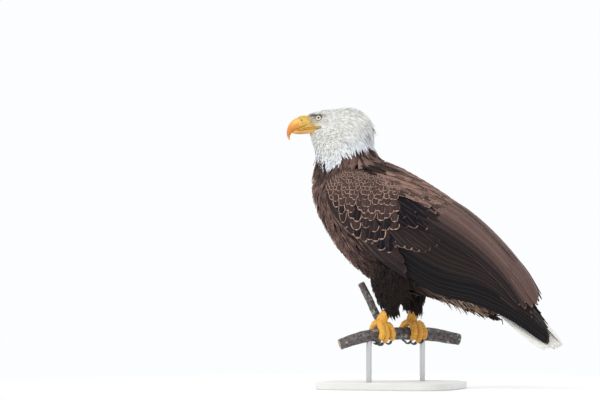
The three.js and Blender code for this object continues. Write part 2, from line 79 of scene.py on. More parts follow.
# %% Body axis and head turn
PERCH_HEIGHT = 0.118
SHOULDERS = np.array([-0.098, 0, 0.309 + PERCH_HEIGHT])
AXIS_SLOPE = math.radians(36.5)
ALONG = np.array([math.cos(AXIS_SLOPE), 0, -math.sin(AXIS_SLOPE)])
ACROSS = np.array([0, 1.0, 0])
UPWARD = np.array([math.sin(AXIS_SLOPE), 0, math.cos(AXIS_SLOPE)])
BODY_AXES = np.stack([ALONG, UPWARD, ACROSS])

HEAD_TURN = math.radians(18)
HEAD_PIVOT_X = -0.105
TURN_STARTS_Z = 0.290 + PERCH_HEIGHT
TURN_ENDS_Z = 0.385 + PERCH_HEIGHT


def smoothstep(low, high, value):
    t = np.clip((np.asarray(value, float) - low) / (high - low), 0, 1)
    return t * t * (3 - 2 * t)


def unit(vectors):
    return vectors / np.maximum(np.linalg.norm(vectors, axis=-1, keepdims=True), 1e-12)


def to_axis(points):
    """Points as (along, height, side) on the body axis."""
    return (np.asarray(points) - SHOULDERS) @ BODY_AXES.T


def from_axis(along, height, side):
    stacked = np.stack(np.broadcast_arrays(along, height, side), axis=-1)
    return SHOULDERS + stacked @ BODY_AXES


def turn_head(points, sign=1):
    """Turns points with the head, less and less down the neck. A sign of -1 undoes it."""
    points = np.array(points, float)
    angle = sign * HEAD_TURN * smoothstep(TURN_STARTS_Z, TURN_ENDS_Z, points[..., 2])
    x, y = points[..., 0] - HEAD_PIVOT_X, points[..., 1].copy()
    points[..., 0] = HEAD_PIVOT_X + x * np.cos(angle) - y * np.sin(angle)
    points[..., 1] = x * np.sin(angle) + y * np.cos(angle)
    return points


def over_perch(points):
    """Millimetres, with z from the perch, as metres."""
    return np.asarray(points, float) * MM + [0, 0, PERCH_HEIGHT]


def in_head(points):
    """The same on the turned head."""
    return turn_head(over_perch(points))


def head_millimetres(points):
    """The reverse: metres on the turned head to its own millimetres, both sides folded to one."""
    local = (turn_head(points, -1) - [0, 0, PERCH_HEIGHT]) / MM
    return local * [1, 0, 1] + np.abs(local) * [0, 1, 0]


print(f"the body leans {math.degrees(AXIS_SLOPE):.1f} degrees, the head turns {math.degrees(HEAD_TURN):.0f}")

# %% [markdown]
# ## Camera and light
# The bird is seen in profile from far away with a long lens, almost level with its breast, and a little
# from behind. The light is a bright overcast sky: an even white world, one broad soft lamp high on the
# left and a weaker one behind.

# %% Camera and lights
VIEW_AZIMUTH = math.radians(18)
VIEW_DISTANCE = 12.0
SHEET_WIDTH = 0.600 * 2.15  # how much of the world the frame takes in, at the bird
VIEW_CENTRE = Vector((-0.1864, -0.0606, 0.406))

camera = bpy.data.objects.new("camera", bpy.data.cameras.new("camera"))
camera.data.lens = camera.data.sensor_width * VIEW_DISTANCE / SHEET_WIDTH
toward_camera = Vector((math.sin(VIEW_AZIMUTH), -math.cos(VIEW_AZIMUTH), 0))
camera.location = VIEW_CENTRE + VIEW_DISTANCE * toward_camera
camera.rotation_euler = toward_camera.to_track_quat("Z", "Y").to_euler()
camera.data.clip_end = 100
scene.collection.objects.link(camera)
scene.camera = camera
scene.view_settings.view_transform = "Standard"


def new_object(name, mesh):
    made = bpy.data.objects.new(name, mesh)
    scene.collection.objects.link(made)
    return made


def area_lamp(name, place, target, size, power, colour):
    lamp = bpy.data.lights.new(name, "AREA")
    lamp.shape, lamp.size, lamp.energy, lamp.color = "DISK", size, power, colour
    holder = new_object(name, lamp)
    holder.location = place
    holder.rotation_euler = (Vector(place) - Vector(target)).to_track_quat("Z", "Y").to_euler()
    return holder


area_lamp("sky_lamp", (-1.6, -2.2, 3.2), (0, 0, 0.4), 2.0, 75, (1, 0.985, 0.96))
area_lamp("back_lamp", (1.8, 2.0, 2.4), (0, 0, 0.4), 1.6, 30, (0.93, 0.96, 1))

world = bpy.data.worlds.new("overcast")
world.use_nodes = True
world.node_tree.nodes["Background"].inputs["Color"].default_value = (0.97, 0.985, 1, 1)
world.node_tree.nodes["Background"].inputs["Strength"].default_value = 1.0
scene.world = world
print(f"lens {camera.data.lens:.0f} mm")

# %% [markdown]
# ## A small kit for materials
# Each finish is a little graph of nodes that ends in a Principled shader. Writing the graphs by hand is
# wordy, so a tiny class adds a node, sets its values and joins its inputs in one call.


# %% Material kit
class Finish:
    """A material under construction: nodes are added with add() and joined by passing sockets."""

    def __init__(self, name):
        self.material = bpy.data.materials.new(name)
        self.material.use_nodes = True
        self.tree = self.material.node_tree
        self.shader = self.tree.nodes["Principled BSDF"]

    def add(self, kind, out=0, settings=None, **inputs):
        node = self.tree.nodes.new(kind)
        for key, value in (settings or {}).items():
            setattr(node, key, value)
        for key, value in inputs.items():
            self.join(node.inputs[int(key[1:]) if key[0] == "i" and key[1:].isdigit() else key], value)
        return node.outputs[out]

    def join(self, socket, value):
        if isinstance(value, bpy.types.NodeSocket):
            self.tree.links.new(value, socket)
        elif isinstance(value, tuple) and len(value) == 3 and socket.type == "RGBA":
            socket.default_value = (*value, 1)
        else:
            socket.default_value = value

    def math(self, operation, first, second=0.0, third=0.0):
        return self.add("ShaderNodeMath", settings={"operation": operation}, i0=first, i1=second, i2=third)

    def scaled(self, value, by, plus=0.0):
        return self.math("MULTIPLY_ADD", value, by, plus)

    def ramp(self, value, low, high, start=0.0, end=1.0):
        settings = {"interpolation_type": "SMOOTHSTEP"}
        return self.add("ShaderNodeMapRange", settings=settings, i0=value, i1=low, i2=high, i3=start, i4=end)

    def mix(self, share, first, second, blend="MIX"):
        settings = {"data_type": "RGBA", "blend_type": blend}
        return self.add("ShaderNodeMix", out=2, settings=settings, i0=share, i6=first, i7=second)

    def where(self):
        """The place on the piece, which is the place in the scene, because no piece is moved."""
        return self.add("ShaderNodeTexCoord", out=3)

    def painted(self):
        """The colour painted on the points. The same node's Alpha output holds one more number."""
        return self.add("ShaderNodeAttribute", settings={"attribute_name": "tint"})

    def noise(self, scale, detail=3.0, place=None, rough=0.5):
        where = place or self.where()
        return self.add("ShaderNodeTexNoise", Vector=where, Scale=scale, Detail=detail, Roughness=rough)

    def bump(self, height, distance, strength=1.0):
        bumped = self.add("ShaderNodeBump", Height=height, Distance=distance, Strength=strength)
        self.join(self.shader.inputs["Normal"], bumped)

    def set(self, **inputs):
        for key, value in inputs.items():
            self.join(self.shader.inputs[key.replace("_", " ")], value)
        return self.material


def srgb(red, green, blue):
    """A colour as it looks on a screen, 0 to 255, as the linear light that a shader wants."""
    shares = (red / 255, green / 255, blue / 255)
    return tuple(c / 12.92 if c <= 0.04045 else ((c + 0.055) / 1.055) ** 2.4 for c in shares)


print(f"mid grey is {srgb(128, 128, 128)[0]:.2f} of full light")

# %% [markdown]
# ## A small kit for meshes
# Shapes are made in bmesh, which has the operators, and then moved into a mesh that the scene can show.
# The same few steps come again for every piece, so each has a function here.


# %% Mesh kit
def smooth_shaded(mesh):
    mesh.polygons.foreach_set("use_smooth", np.ones(len(mesh.polygons), dtype=bool))


def piece_from(name, work, smooth=False):
    """Turns a bmesh into an object of the scene."""
    mesh = bpy.data.meshes.new(name)
    work.to_mesh(mesh)
    work.free()
    if smooth:
        smooth_shaded(mesh)
    return new_object(name, mesh)


def merged_copy(name, nodes):
    """One object with the faces of the named solids, their loose triangles merged."""
    fused = bmesh.new()
    for node in nodes:
        fused.from_mesh(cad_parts[node].data)
    bmesh.ops.remove_doubles(fused, verts=fused.verts, dist=1e-6)
    return piece_from(name, fused)


def applied(piece):
    """Turns a piece's modifiers into its mesh."""
    made = bpy.data.meshes.new_from_object(piece.evaluated_get(bpy.context.evaluated_depsgraph_get()))
    piece.modifiers.clear()
    piece.data = made
    return piece


def fuse(piece, cell, rounds=0):
    """Fuses a piece into one closed skin of small cells, which is then smoothed some rounds."""
    remesh = piece.modifiers.new("fuse", "REMESH")
    remesh.mode, remesh.voxel_size = "VOXEL", cell
    if rounds:
        smooth = piece.modifiers.new("smooth", "SMOOTH")
        smooth.factor, smooth.iterations = 0.5, rounds
    return applied(piece)


def mesh_arrays(mesh):
    """A mesh's points, their outward directions and its triangles."""
    mesh.calc_loop_triangles()
    points, normals = np.empty((2, len(mesh.vertices) * 3))
    mesh.vertices.foreach_get("co", points)
    mesh.vertex_normals.foreach_get("vector", normals)
    triangles = np.empty(len(mesh.loop_triangles) * 3, dtype=np.int32)
    mesh.loop_triangles.foreach_get("vertices", triangles)
    return points.reshape(-1, 3), normals.reshape(-1, 3), triangles.reshape(-1, 3)


def move_points(mesh, points):
    mesh.vertices.foreach_set("co", points.ravel())
    mesh.update()


def paint(mesh, colours, alpha=1.0):
    """Writes one colour a point into the attribute that the finishes read."""
    tint = mesh.color_attributes.new(name="tint", type="FLOAT_COLOR", domain="POINT")
    values = np.column_stack([colours, np.broadcast_to(alpha, len(colours))])
    tint.data.foreach_set("color", values.ravel())


def enter(piece, finish, slot, *nodes):
    """Gives a piece its finish and enters it in the frame, for the solids that it replaces."""
    piece.data.materials.append(finish)
    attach(piece, "root")
    if nodes:
        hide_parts(*nodes)
    print(f"{piece.name}: {sum(len(p.vertices) - 2 for p in piece.data.polygons)} triangles")
    return piece


print("mesh kit: copy, fuse, move, paint and enter")

# %% [markdown]
# ## The floor
# A pale disc takes the bird's soft shadow. It fades out, so that it never ends in a hard line.

# %% Floor
FLOOR_CLEAR, FLOOR_GONE = 0.45, 1.1
pale = Finish("pale_floor")
reach = pale.add("ShaderNodeVectorMath", out=1, settings={"operation": "LENGTH"}, i0=pale.where())
fading = pale.ramp(reach, FLOOR_CLEAR, FLOOR_GONE, 1.0, 0.0)
pale.set(Base_Color=(0.9, 0.9, 0.9), Roughness=0.9, Alpha=fading)
disc = bmesh.new()
bmesh.ops.create_circle(disc, cap_ends=True, segments=96, radius=FLOOR_GONE)
floor = piece_from("floor", disc)
floor.data.materials.append(pale.material)
floor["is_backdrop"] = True
print(f"floor {2 * FLOOR_GONE} m across")

# %% [markdown]
# ## The form under the feathers
# A bird's outline is made by its feathers, and its skin lies well inside them. The solids give the
# feathered outline, so their copies are fused into one closed form with a voxel remesh, and smoothed. The
# feathers are laid on this form, and the skin is the same form drawn in by the depth of the coat.

# %% Fuse the solids
SIDES = ((-1, "left"), (1, "right"))
LABELS, TOE_NAMES = ("left", "right"), ("inner", "middle", "outer", "hind")
TOES = [f"toe_{side}_{toe}" for side in LABELS for toe in TOE_NAMES]
FEET = TOES + ["shank_left", "shank_right"]
FLESH = ["trunk", "neck", "head"]
FLESH += [f"{part}_{side}" for part in ("thigh", "shank") for side in LABELS]
FLESH += [f"wing_{side}_coverts" for side in LABELS]
CELL = 2.75 * MM
BROW = [  # beads of x, side, height and radius
    (-187, 7, 469.5, 2.2), (-180, 11, 471.5, 3.2), (-171, 16.5, 473.6, 4.4), (-161, 21.3, 475, 5.2),
    (-151, 23.3, 475, 5.2), (-141, 24.2, 473.4, 4.4), (-132, 25, 471, 3),
]
EDGE_OUT, EDGE_WIDTH = 1.8, 3.2
SWELLS = [  # height, half height, how far out, and the x where it starts and where it is full
    (367, 17, 9.5, -0.11, -0.14),
    (449, 30, -6.0, -0.09, -0.06),
]


def weights_at(shares, knots):
    """How much each knot of a spine counts at each share of its length, as a smooth curve."""
    place = np.clip(shares, 0, 1) * (knots - 1)
    first = np.minimum(place.astype(int), knots - 2)
    t = place - first
    parts = (-t + 2 * t**2 - t**3, 2 - 5 * t**2 + 3 * t**3, t + 4 * t**2 - 3 * t**3, -(t**2) + t**3)
    table = np.zeros((len(t), knots + 2))  # with one more knot beyond each end
    for step, part in enumerate(parts):
        table[np.arange(len(t)), first + step] += part / 2
    table[:, 1:3] += table[:, :1] * [2, -1]
    table[:, -3:-1] += table[:, -1:] * [-1, 2]
    return table[:, 1:-1]


def spline(knots, count):
    """A smooth run of count rows through the knots, which are rows of numbers."""
    knots = np.asarray(knots, float)
    return weights_at(np.linspace(0, 1, count), len(knots)) @ knots


def column_at(table, place, column):
    """Reads a column of a table of rows at places between the rows."""
    return np.interp(place, table[:, 0], table[:, column])


form = merged_copy("skin", [node for node in FLESH if node not in FEET] + ["cere", "eye_left", "eye_right"])
beads = bmesh.new()
beads.from_mesh(form.data)
for side, _ in SIDES:
    for x, y, z, size in spline(BROW, 16):
        place = Matrix.Translation(in_head([[x, side * y, z]])[0])
        bmesh.ops.create_uvsphere(beads, u_segments=12, v_segments=8, radius=size * MM, matrix=place)
beads.to_mesh(form.data)
beads.free()
fuse(form, CELL, 6)

# The lower edge of the brow is sharpened, so that it overhangs the eye.
points, normals, _ = mesh_arrays(form.data)
local = head_millimetres(points)
edge = spline(BROW, 40)
edge = edge[:, :3] + edge[:, 3:] * [0, 0.75, -0.45]
upper_head = np.flatnonzero((local[:, 2] > 440) & (local[:, 0] < -120))
away = np.linalg.norm(local[upper_head][:, None] - edge[None], axis=2).min(axis=1)
points[upper_head] += normals[upper_head] * (EDGE_OUT * np.exp(-((away / EDGE_WIDTH) ** 2)))[:, None] * MM

# The lower throat is drawn a little out and the nape a little in.
for height, half, far, start_x, full_x in SWELLS:
    above = (points[:, 2] - PERCH_HEIGHT) / MM - height
    near = np.exp(-((above / half) ** 2)) * smoothstep(start_x, full_x, points[:, 0])
    facing = np.clip(np.sign(full_x - start_x) * normals[:, 0], 0, 1)
    points += normals * (far * near * facing)[:, None] * MM
move_points(form.data, points)

FORM_POINTS, FORM_NORMALS, FORM_FACES = mesh_arrays(form.data)
FORM_TREE = BVHTree.FromPolygons(FORM_POINTS.tolist(), FORM_FACES.tolist())


def on_form(points):
    """The nearest places on the feathered outline, with its smooth normals and the faces they are on."""
    near = np.empty_like(points)
    which = np.empty(len(points), dtype=int)
    for i, point in enumerate(points.tolist()):
        place, _, face, _ = FORM_TREE.find_nearest(point)
        near[i] = place
        which[i] = face
    return near, unit(FORM_NORMALS[FORM_FACES[which]].mean(axis=1)), which


print(f"form of {len(FORM_FACES)} triangles")

# %% [markdown]
# ## Which part is where, and which way the feathers lie
# Each place on the form belongs to the solid that it is nearest to, so the coat can change from face to
# neck to thigh. The feathers of a bird stream away from the bill, over the head, round the neck and down
# the body. That stream is drawn once as a bent line through the middle of the bird. A place on the form
# takes the direction of the stretch of line near it, laid flat on the surface.

# %% Regions and the lie of the feathers
REGION_NODES = {
    "head": ["head"],
    "cere": ["cere"],
    "neck": ["neck"],
    "trunk": ["trunk"],
    "thigh": ["thigh_left", "thigh_right"],
    "wing": ["wing_left_coverts", "wing_right_coverts"],
}
REGIONS = list(REGION_NODES)


def tree_of(nodes):
    """A search tree over the faces of some solids."""
    points, faces, first = [], [], 0
    for node in nodes:
        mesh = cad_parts[node].data
        points += [v.co[:] for v in mesh.vertices]
        faces += [[first + i for i in polygon.vertices] for polygon in mesh.polygons]
        first += len(mesh.vertices)
    return BVHTree.FromPolygons(points, faces)


away = np.empty((len(REGIONS), len(FORM_POINTS)))
for row, nodes in enumerate(REGION_NODES.values()):
    tree = tree_of(nodes)
    away[row] = [tree.find_nearest(point)[3] for point in FORM_POINTS.tolist()]
FORM_REGION = away.argmin(axis=0)

pairs = np.concatenate([FORM_FACES[:, [0, 1]], FORM_FACES[:, [1, 2]], FORM_FACES[:, [2, 0]]])
FORM_EDGES = np.unique(np.sort(pairs), axis=0)
FORM_DEGREE = np.bincount(FORM_EDGES.ravel(), minlength=len(FORM_POINTS))


def evened(values, rounds):
    """Values on the form's points, averaged with their neighbours over and over."""
    values = np.array(values, float).reshape(len(FORM_POINTS), -1)
    a, b = FORM_EDGES.T
    for _ in range(rounds):
        summed = [np.bincount(a, v[b], len(v)) + np.bincount(b, v[a], len(v)) for v in values.T]
        values = (values + np.column_stack(summed) / FORM_DEGREE[:, None]) / 2
    return values


def in_region(*names):
    return np.isin(FORM_REGION, [REGIONS.index(name) for name in names])


def lie(directions, normals):
    """Directions laid flat on the surface."""
    return unit(directions - normals * np.sum(directions * normals, axis=-1, keepdims=True))


STREAM = [  # x and height of the middle line, from the bill to the tail
    (-230, 452), (-185, 452), (-150, 451), (-118, 440), (-98, 408), (-90, 370), (-84, 335), (-60, 281),
    (-18, 249), (63, 190), (143, 130), (223, 71), (300, 14),
]
STREAM_WIDTH = 28 * MM
THIGH_LIE = unit(np.array([0.16, 0, -1.0]))
knots = over_perch([(x, 0, z) for x, z in STREAM])
steps = np.linspace(0, 1, 12, endpoint=False)[:, None]
stream = np.concatenate([a + (b - a) * steps for a, b in zip(knots, knots[1:])])
stream_way = unit(np.gradient(stream, axis=0))
HEAD_FRAME_POINTS = turn_head(FORM_POINTS, -1)
reach = np.linalg.norm(HEAD_FRAME_POINTS[:, None] - stream[None], axis=2)
nearest = reach.min(axis=1, keepdims=True)
pull = np.exp(-((reach - nearest) * (reach + nearest)) / (2 * STREAM_WIDTH**2))
way = unit(pull @ stream_way)
way = turn_head(HEAD_FRAME_POINTS + way * MM) - FORM_POINTS
legs = evened(in_region("thigh"), 12)
FORM_LIE = lie(unit(way) * (1 - legs) + THIGH_LIE * legs, FORM_NORMALS)
FORM_LIE = lie(evened(FORM_LIE, 6), FORM_NORMALS)
print({name: int(in_region(name).sum()) for name in REGIONS})

# %% [markdown]
# ## Plumage colours
# The skin and the coat take their colours from the same few rules, so that no gap shows a wrong colour.
# The white of the head ends in a ragged line that dips to a point at the side of the neck. Below it the
# bird is brown: warm and streaked on the breast, darker on the back, almost black on the thighs.

# %% Plumage rules
NECK_X = -98 * MM
BORDER_ANGLES = [0, 30, 52, 65, 80, 90, 103, 116, 165, 180]
BORDER_HEIGHTS = [380, 369, 352, 345, 351, 358, 367, 376, 388, 389]
BILL_ROOT = over_perch([-188, 0, 452])
WHITE, SHADED_WHITE, BLUISH_WHITE = srgb(243, 243, 238), srgb(215, 215, 209), srgb(236, 240, 250)
BROWNS = [  # the dark and the bright shade of the breast, the back, the belly and the thighs
    (srgb(62, 48, 50), srgb(188, 149, 135)),
    (srgb(58, 46, 46), srgb(156, 124, 113)),
    (srgb(26, 20, 22), srgb(70, 53, 49)),
    (srgb(16, 12, 14), srgb(44, 33, 33)),
]
VENT_TAN = srgb(158, 132, 112)
BROW_SHADE, LORE_GREY, CERE_YELLOW = srgb(66, 61, 46), srgb(170, 160, 158), srgb(204, 166, 78)
CHEEK_YELLOW, CHEEK_MAUVE = srgb(206, 174, 96), srgb(196, 182, 180)
CERE_EDGE = ([444, 452, 460, 472], [-165, -173, -179.5, -183])  # heights, and how far back the yellow goes


def border_height(points):
    """How low the white reaches, by the direction from the middle of the neck."""
    angle = np.degrees(np.arctan2(np.abs(points[..., 1]), NECK_X - points[..., 0]))
    return np.interp(angle, BORDER_ANGLES, BORDER_HEIGHTS) * MM + PERCH_HEIGHT


def from_bill(points):
    """How far points are from the root of the bill, in the head's own frame."""
    return np.linalg.norm(turn_head(points, -1) - BILL_ROOT, axis=-1)


def blended(first, second, share):
    return np.asarray(first) * (1 - share)[:, None] + np.asarray(second) * share[:, None]


def face_colours(points, colours):
    """The dull bare-looking places of the face below the eye and round it, with painted shade under the brow
    and before the eye.
    """
    x, _, z = head_millimetres(points).T

    def spot(x_middle, x_half, z_middle, z_half):
        return np.exp(-(((x - x_middle) / x_half) ** 2) - ((z - z_middle) / z_half) ** 2)

    wax = smoothstep(439, 444, z) * (1 - smoothstep(-3, 4, x - np.interp(z, *CERE_EDGE)))
    brow_length = smoothstep(-184, -176, x) * (1 - smoothstep(-158, -143, x))
    shades = (
        (np.exp(-(((z - 441.5) / 3.4) ** 4)) * (1 - smoothstep(-168, -158, x)), CHEEK_YELLOW),  # the gape
        (0.9 * spot(-177, 9, 460, 10), LORE_GREY),
        (0.6 * spot(-148, 9, 458, 8), CHEEK_MAUVE),
        (0.9 * spot(-167, 7, 456, 3), CHEEK_YELLOW),
        # painted shade: BROW_SHADE before the eye and along the underside of the overhanging brow
        (0.8 * spot(-168.5, 2.8, 465.5, 4), BROW_SHADE),
        (0.9 * np.exp(-(((z - 470.6) / 3.0) ** 2)) * brow_length, BROW_SHADE),
        (0.85 * wax, CERE_YELLOW),
    )
    for share, shade in shades:
        colours = blended(colours, shade, share)
    return colours


def brown_of(points, light, thigh):
    """Brown body colour: light runs from 0, dark, to 1; thigh says how far a place is thigh."""
    along, height, side = to_axis(points).T
    back = smoothstep(0.0, 0.05, height) * smoothstep(-0.02, 0.03, along)
    light = light * (1 - 0.6 * smoothstep(0.015, 0.06, np.abs(side)) * (1 - back))  # the flanks are darker
    low = smoothstep(0.09, 0.18, along) * (1 - back)
    breast, mantle, belly, trousers = (blended(dark, bright, light) for dark, bright in BROWNS)
    made = blended(blended(breast, mantle, back), belly, low)
    vent = smoothstep(0.27, 0.36, along) * smoothstep(0.0, -0.03, height) * np.clip(light * 1.6, 0, 1)
    made = blended(made, VENT_TAN, vent)
    # painted shade: the brown just under the white hackles is darkened, as if in their shadow
    shade_under_white = smoothstep(0.026, 0.004, border_height(points) - points[:, 2])
    return blended(made * (1 - 0.4 * shade_under_white)[:, None], trousers, thigh)


FORM_THIGH = evened(in_region("thigh"), 6)[:, 0]
print(f"the white ends {min(BORDER_HEIGHTS)} to {max(BORDER_HEIGHTS)} mm above the perch")

# %% [markdown]
# ## The skin
# The skin is the form drawn in along its normals by the depth of the coat: a millimetre or two on the
# face, and a good centimetre on the breast. Where the form is thin it is drawn in less, so the two sides
# never cross.

# %% Skin
FACE_DEPTHS = ([20, 45, 80, 120], [1.2, 1.8, 3.6, 6.0])  # by millimetres from the root of the bill
REGION_DEPTHS = {"neck": 8, "trunk": 12, "thigh": 8, "cere": 0.8, "wing": 8}
MOST_OF_ROOM = 0.38
depth = np.interp(from_bill(FORM_POINTS) / MM, *FACE_DEPTHS)
for name, value in REGION_DEPTHS.items():
    depth[in_region(name)] = value
starts, inward = FORM_POINTS - FORM_NORMALS * 0.2 * MM, -FORM_NORMALS
hits = [FORM_TREE.ray_cast(start, way)[3] for start, way in zip(starts.tolist(), inward.tolist())]
room = np.array([hit or 1.0 for hit in hits])
FORM_DEPTH = evened(np.minimum(evened(depth * MM, 10)[:, 0], MOST_OF_ROOM * room), 5)[:, 0]
move_points(form.data, evened(FORM_POINTS - FORM_NORMALS * FORM_DEPTH[:, None], 2))

white = smoothstep(-2 * MM, 6 * MM, FORM_POINTS[:, 2] - border_height(FORM_POINTS))
skin_tint = brown_of(FORM_POINTS, np.full(len(FORM_POINTS), 0.25), FORM_THIGH)
skin_tint = face_colours(FORM_POINTS, blended(skin_tint, SHADED_WHITE, white))
print(f"skin drawn in by up to {FORM_DEPTH.max() / MM:.1f} mm")

# %% [markdown]
# ## One feather, many times
# Every feather is a copy of one of a few blades. A blade is a thin closed lens: a grid bent over its
# quill, with a second sheet under it that shares its edges. It lies along +Y from 0 to 1 and across X
# from -1 to 1, so a feather on the bird only has to say where its quill runs, how wide it is and which
# way is out.


# %% Blades
def blade(columns, rows, outline, camber=0.3, thickness=0.12):
    """A closed feather blade of unit size. outline gives the half width at a share of the length."""
    sheet = bmesh.new()
    across = sheet.verts.layers.float.new("across")
    bmesh.ops.create_grid(sheet, x_segments=columns, y_segments=rows, size=1)
    upper = sheet.faces[:]
    copied = bmesh.ops.duplicate(sheet, geom=upper)
    lower = {item for item in copied["geom"] if isinstance(item, bmesh.types.BMVert)}
    bmesh.ops.reverse_faces(sheet, faces=[f for f in copied["geom"] if isinstance(f, bmesh.types.BMFace)])
    for vert in sheet.verts:
        x, y = vert.co.x, math.sin(math.pi / 4 * (vert.co.y + 1))  # rows gather towards the tip
        inside = abs(x) < 0.999 and 0.001 < y < 0.999
        deep = thickness * (1 - abs(x)) if vert in lower and inside else 0
        vert[across] = x
        vert.co = (x * outline(y), y, -camber * x * x - deep)
    bmesh.ops.remove_doubles(sheet, verts=sheet.verts, dist=1e-5)
    bmesh.ops.triangulate(sheet, faces=sheet.faces)
    sheet.verts.index_update()
    made = {
        "points": np.array([v.co[:] for v in sheet.verts]),
        "across": np.array([v[across] for v in sheet.verts]),
        "faces": np.array([[v.index for v in f.verts] for f in sheet.faces]),
    }
    sheet.free()
    return made


def rounded(y, root=0.35, tip=0.62, blunt=0.06):
    """Narrow at the root, parallel sides, and a round tip."""
    if y < tip:
        return root + (1 - root) * math.sin(math.pi / 2 * min(1, y / 0.4))
    return max(blunt, math.sqrt(max(0, 1 - ((y - tip) / (1 - tip)) ** 2)))


def lance(y, root=0.3, widest=0.35):
    """Widest near the root and drawn out to a fine tip."""
    if y < widest:
        return root + (1 - root) * math.sin(math.pi / 2 * y / widest)
    return max(0.03, math.cos(math.pi / 2 * (y - widest) / (1 - widest)) ** 0.85)


HACKLE = blade(2, 4, lance, camber=0.22, thickness=0.1)
PLUME = blade(2, 5, lambda y: rounded(y, 0.3, 0.5, 0.12), camber=0.25, thickness=0.1)
SCALE = blade(4, 7, rounded, camber=0.2, thickness=0.08)
QUILL = blade(4, 18, lambda y: rounded(y, 0.6, 0.86, 0.1), camber=0.18, thickness=0.06)
for label, made in (("hackle", HACKLE), ("plume", PLUME), ("scale", SCALE), ("quill", QUILL)):
    print(f"{label}: {len(made['faces'])} triangles")

# %% [markdown]
# ## Laying feathers
# A tract is one patch of like feathers. Each feather follows a spine of a few knots. The spines start on
# the skin, rise to the feathered outline and keep to its curve, so the feathers lap like roof tiles. All
# the feathers of a tract become one mesh, with three things: a tint and a map of the blade itself, which
# the finish reads for the fringe and barbs, and a small patch of a wrap-around map of the body.


# %% Feather layers
MAP_PATCH = 0.003  # how much of the wrap-around map one feather takes


class Tract:
    """Feathers gathered for one piece."""

    def __init__(self):
        self.points, self.faces, self.tints, self.blades, self.maps, self.count = [], [], [], [], [], 0

    def lay(self, shape, spines, normals, widths, colours, fringe, places, outer=None):
        """Copies a blade along spines. The spines and normals are arrays of (feathers, knots, 3), and
        places are the feathers' own places on the wrap-around map."""
        feathers, knots = spines.shape[:2]
        share = shape["points"][:, 1]
        at = weights_at(share, knots)
        ahead, behind = weights_at(share + 0.04, knots), weights_at(share - 0.04, knots)
        centre = np.einsum("vk,nkc->nvc", at, spines)
        tangent = unit(np.einsum("vk,nkc->nvc", ahead - behind, spines))
        out = unit(np.einsum("vk,nkc->nvc", at, normals))
        side = unit(np.cross(tangent, out))
        out = np.cross(side, tangent)
        wide = np.asarray(widths)[:, None, None] / 2
        x = np.broadcast_to(shape["points"][:, 0], (feathers, len(share)))
        if outer is not None:  # a flight feather's outer vane is the narrow one
            x = np.where(x * np.asarray(outer)[:, None] > 0, x * 0.45, x * 1.55)
        made = centre + side * x[..., None] * wide + out * shape["points"][None, :, 2:3] * wide
        self.points.append(made.reshape(-1, 3))
        base = self.count + np.arange(feathers)[:, None, None] * len(share)
        self.faces.append((shape["faces"][None] + base).reshape(-1, 3))
        tints = np.column_stack([np.broadcast_to(colours, (feathers, 3)), np.broadcast_to(fringe, feathers)])
        self.tints.append(np.repeat(tints, len(share), axis=0))
        blade_map = np.stack([shape["across"] * 0.5 + 0.5, share], axis=-1)
        self.blades.append(np.tile(blade_map, (feathers, 1)))
        patch = (blade_map - 0.5) * MAP_PATCH
        self.maps.append((np.asarray(places)[:, None] + patch[None]).reshape(-1, 2))
        self.count += feathers * len(share)

    def piece(self, name, finish, slot, *nodes):
        """All the feathers laid so far as one mesh."""
        points, faces = np.concatenate(self.points), np.concatenate(self.faces)
        mesh = bpy.data.meshes.new(name)
        mesh.vertices.add(len(points))
        mesh.vertices.foreach_set("co", points.ravel())
        mesh.loops.add(faces.size)
        mesh.loops.foreach_set("vertex_index", faces.ravel().astype(np.int32))
        mesh.polygons.add(len(faces))
        mesh.polygons.foreach_set("loop_start", np.arange(0, faces.size, 3, dtype=np.int32))
        mesh.update(calc_edges=True)
        smooth_shaded(mesh)
        mesh.set_sharp_from_angle(angle=math.radians(60))  # the two sheets are shaded apart
        for title, values in (("OFBake", self.maps), ("blade", self.blades)):
            layer = mesh.uv_layers.new(name=title)
            layer.data.foreach_set("uv", np.concatenate(values)[faces.ravel()].ravel())
        tints = np.concatenate(self.tints)
        paint(mesh, tints[:, :3], tints[:, 3])
        return enter(new_object(name, mesh), finish, slot, *nodes)


def feather_spines(roots, faces, lengths, depth, lift, sway=0.0, stand=0.0, knots=3):
    """Spines that leave the skin at a depth under the outline, follow the lie and end lift above it."""
    count = len(roots)
    step = np.broadcast_to(lengths, count)[:, None] / (knots - 1)
    sway, stand = np.broadcast_to(sway, count), np.broadcast_to(stand, count)[:, None]
    places, normals = [roots], [unit(FORM_NORMALS[FORM_FACES[faces]].mean(axis=1))]
    drift = None
    for _ in range(knots - 1):
        way = lie(FORM_LIE[FORM_FACES[faces]].mean(axis=1), normals[-1])
        way = way * np.cos(sway)[:, None] + np.cross(normals[-1], way) * np.sin(sway)[:, None]
        drift = way if drift is None else unit(way * (1 - stand) + drift * stand)
        near, normal, faces = on_form(places[-1] + drift * step)
        places.append(near * (1 - stand) + (places[-1] + drift * step) * stand)
        normals.append(normal)
    places, normals = np.stack(places, axis=1), np.stack(normals, axis=1)
    depth = np.minimum(depth, 0.3 * step[:, 0] * (knots - 1))
    share = np.linspace(0, 1, knots)[None, :, None] ** 0.7
    depth, lift = (np.broadcast_to(v, count)[:, None, None] for v in (depth, lift))
    return places + normals * (-depth + (lift + depth) * share), normals


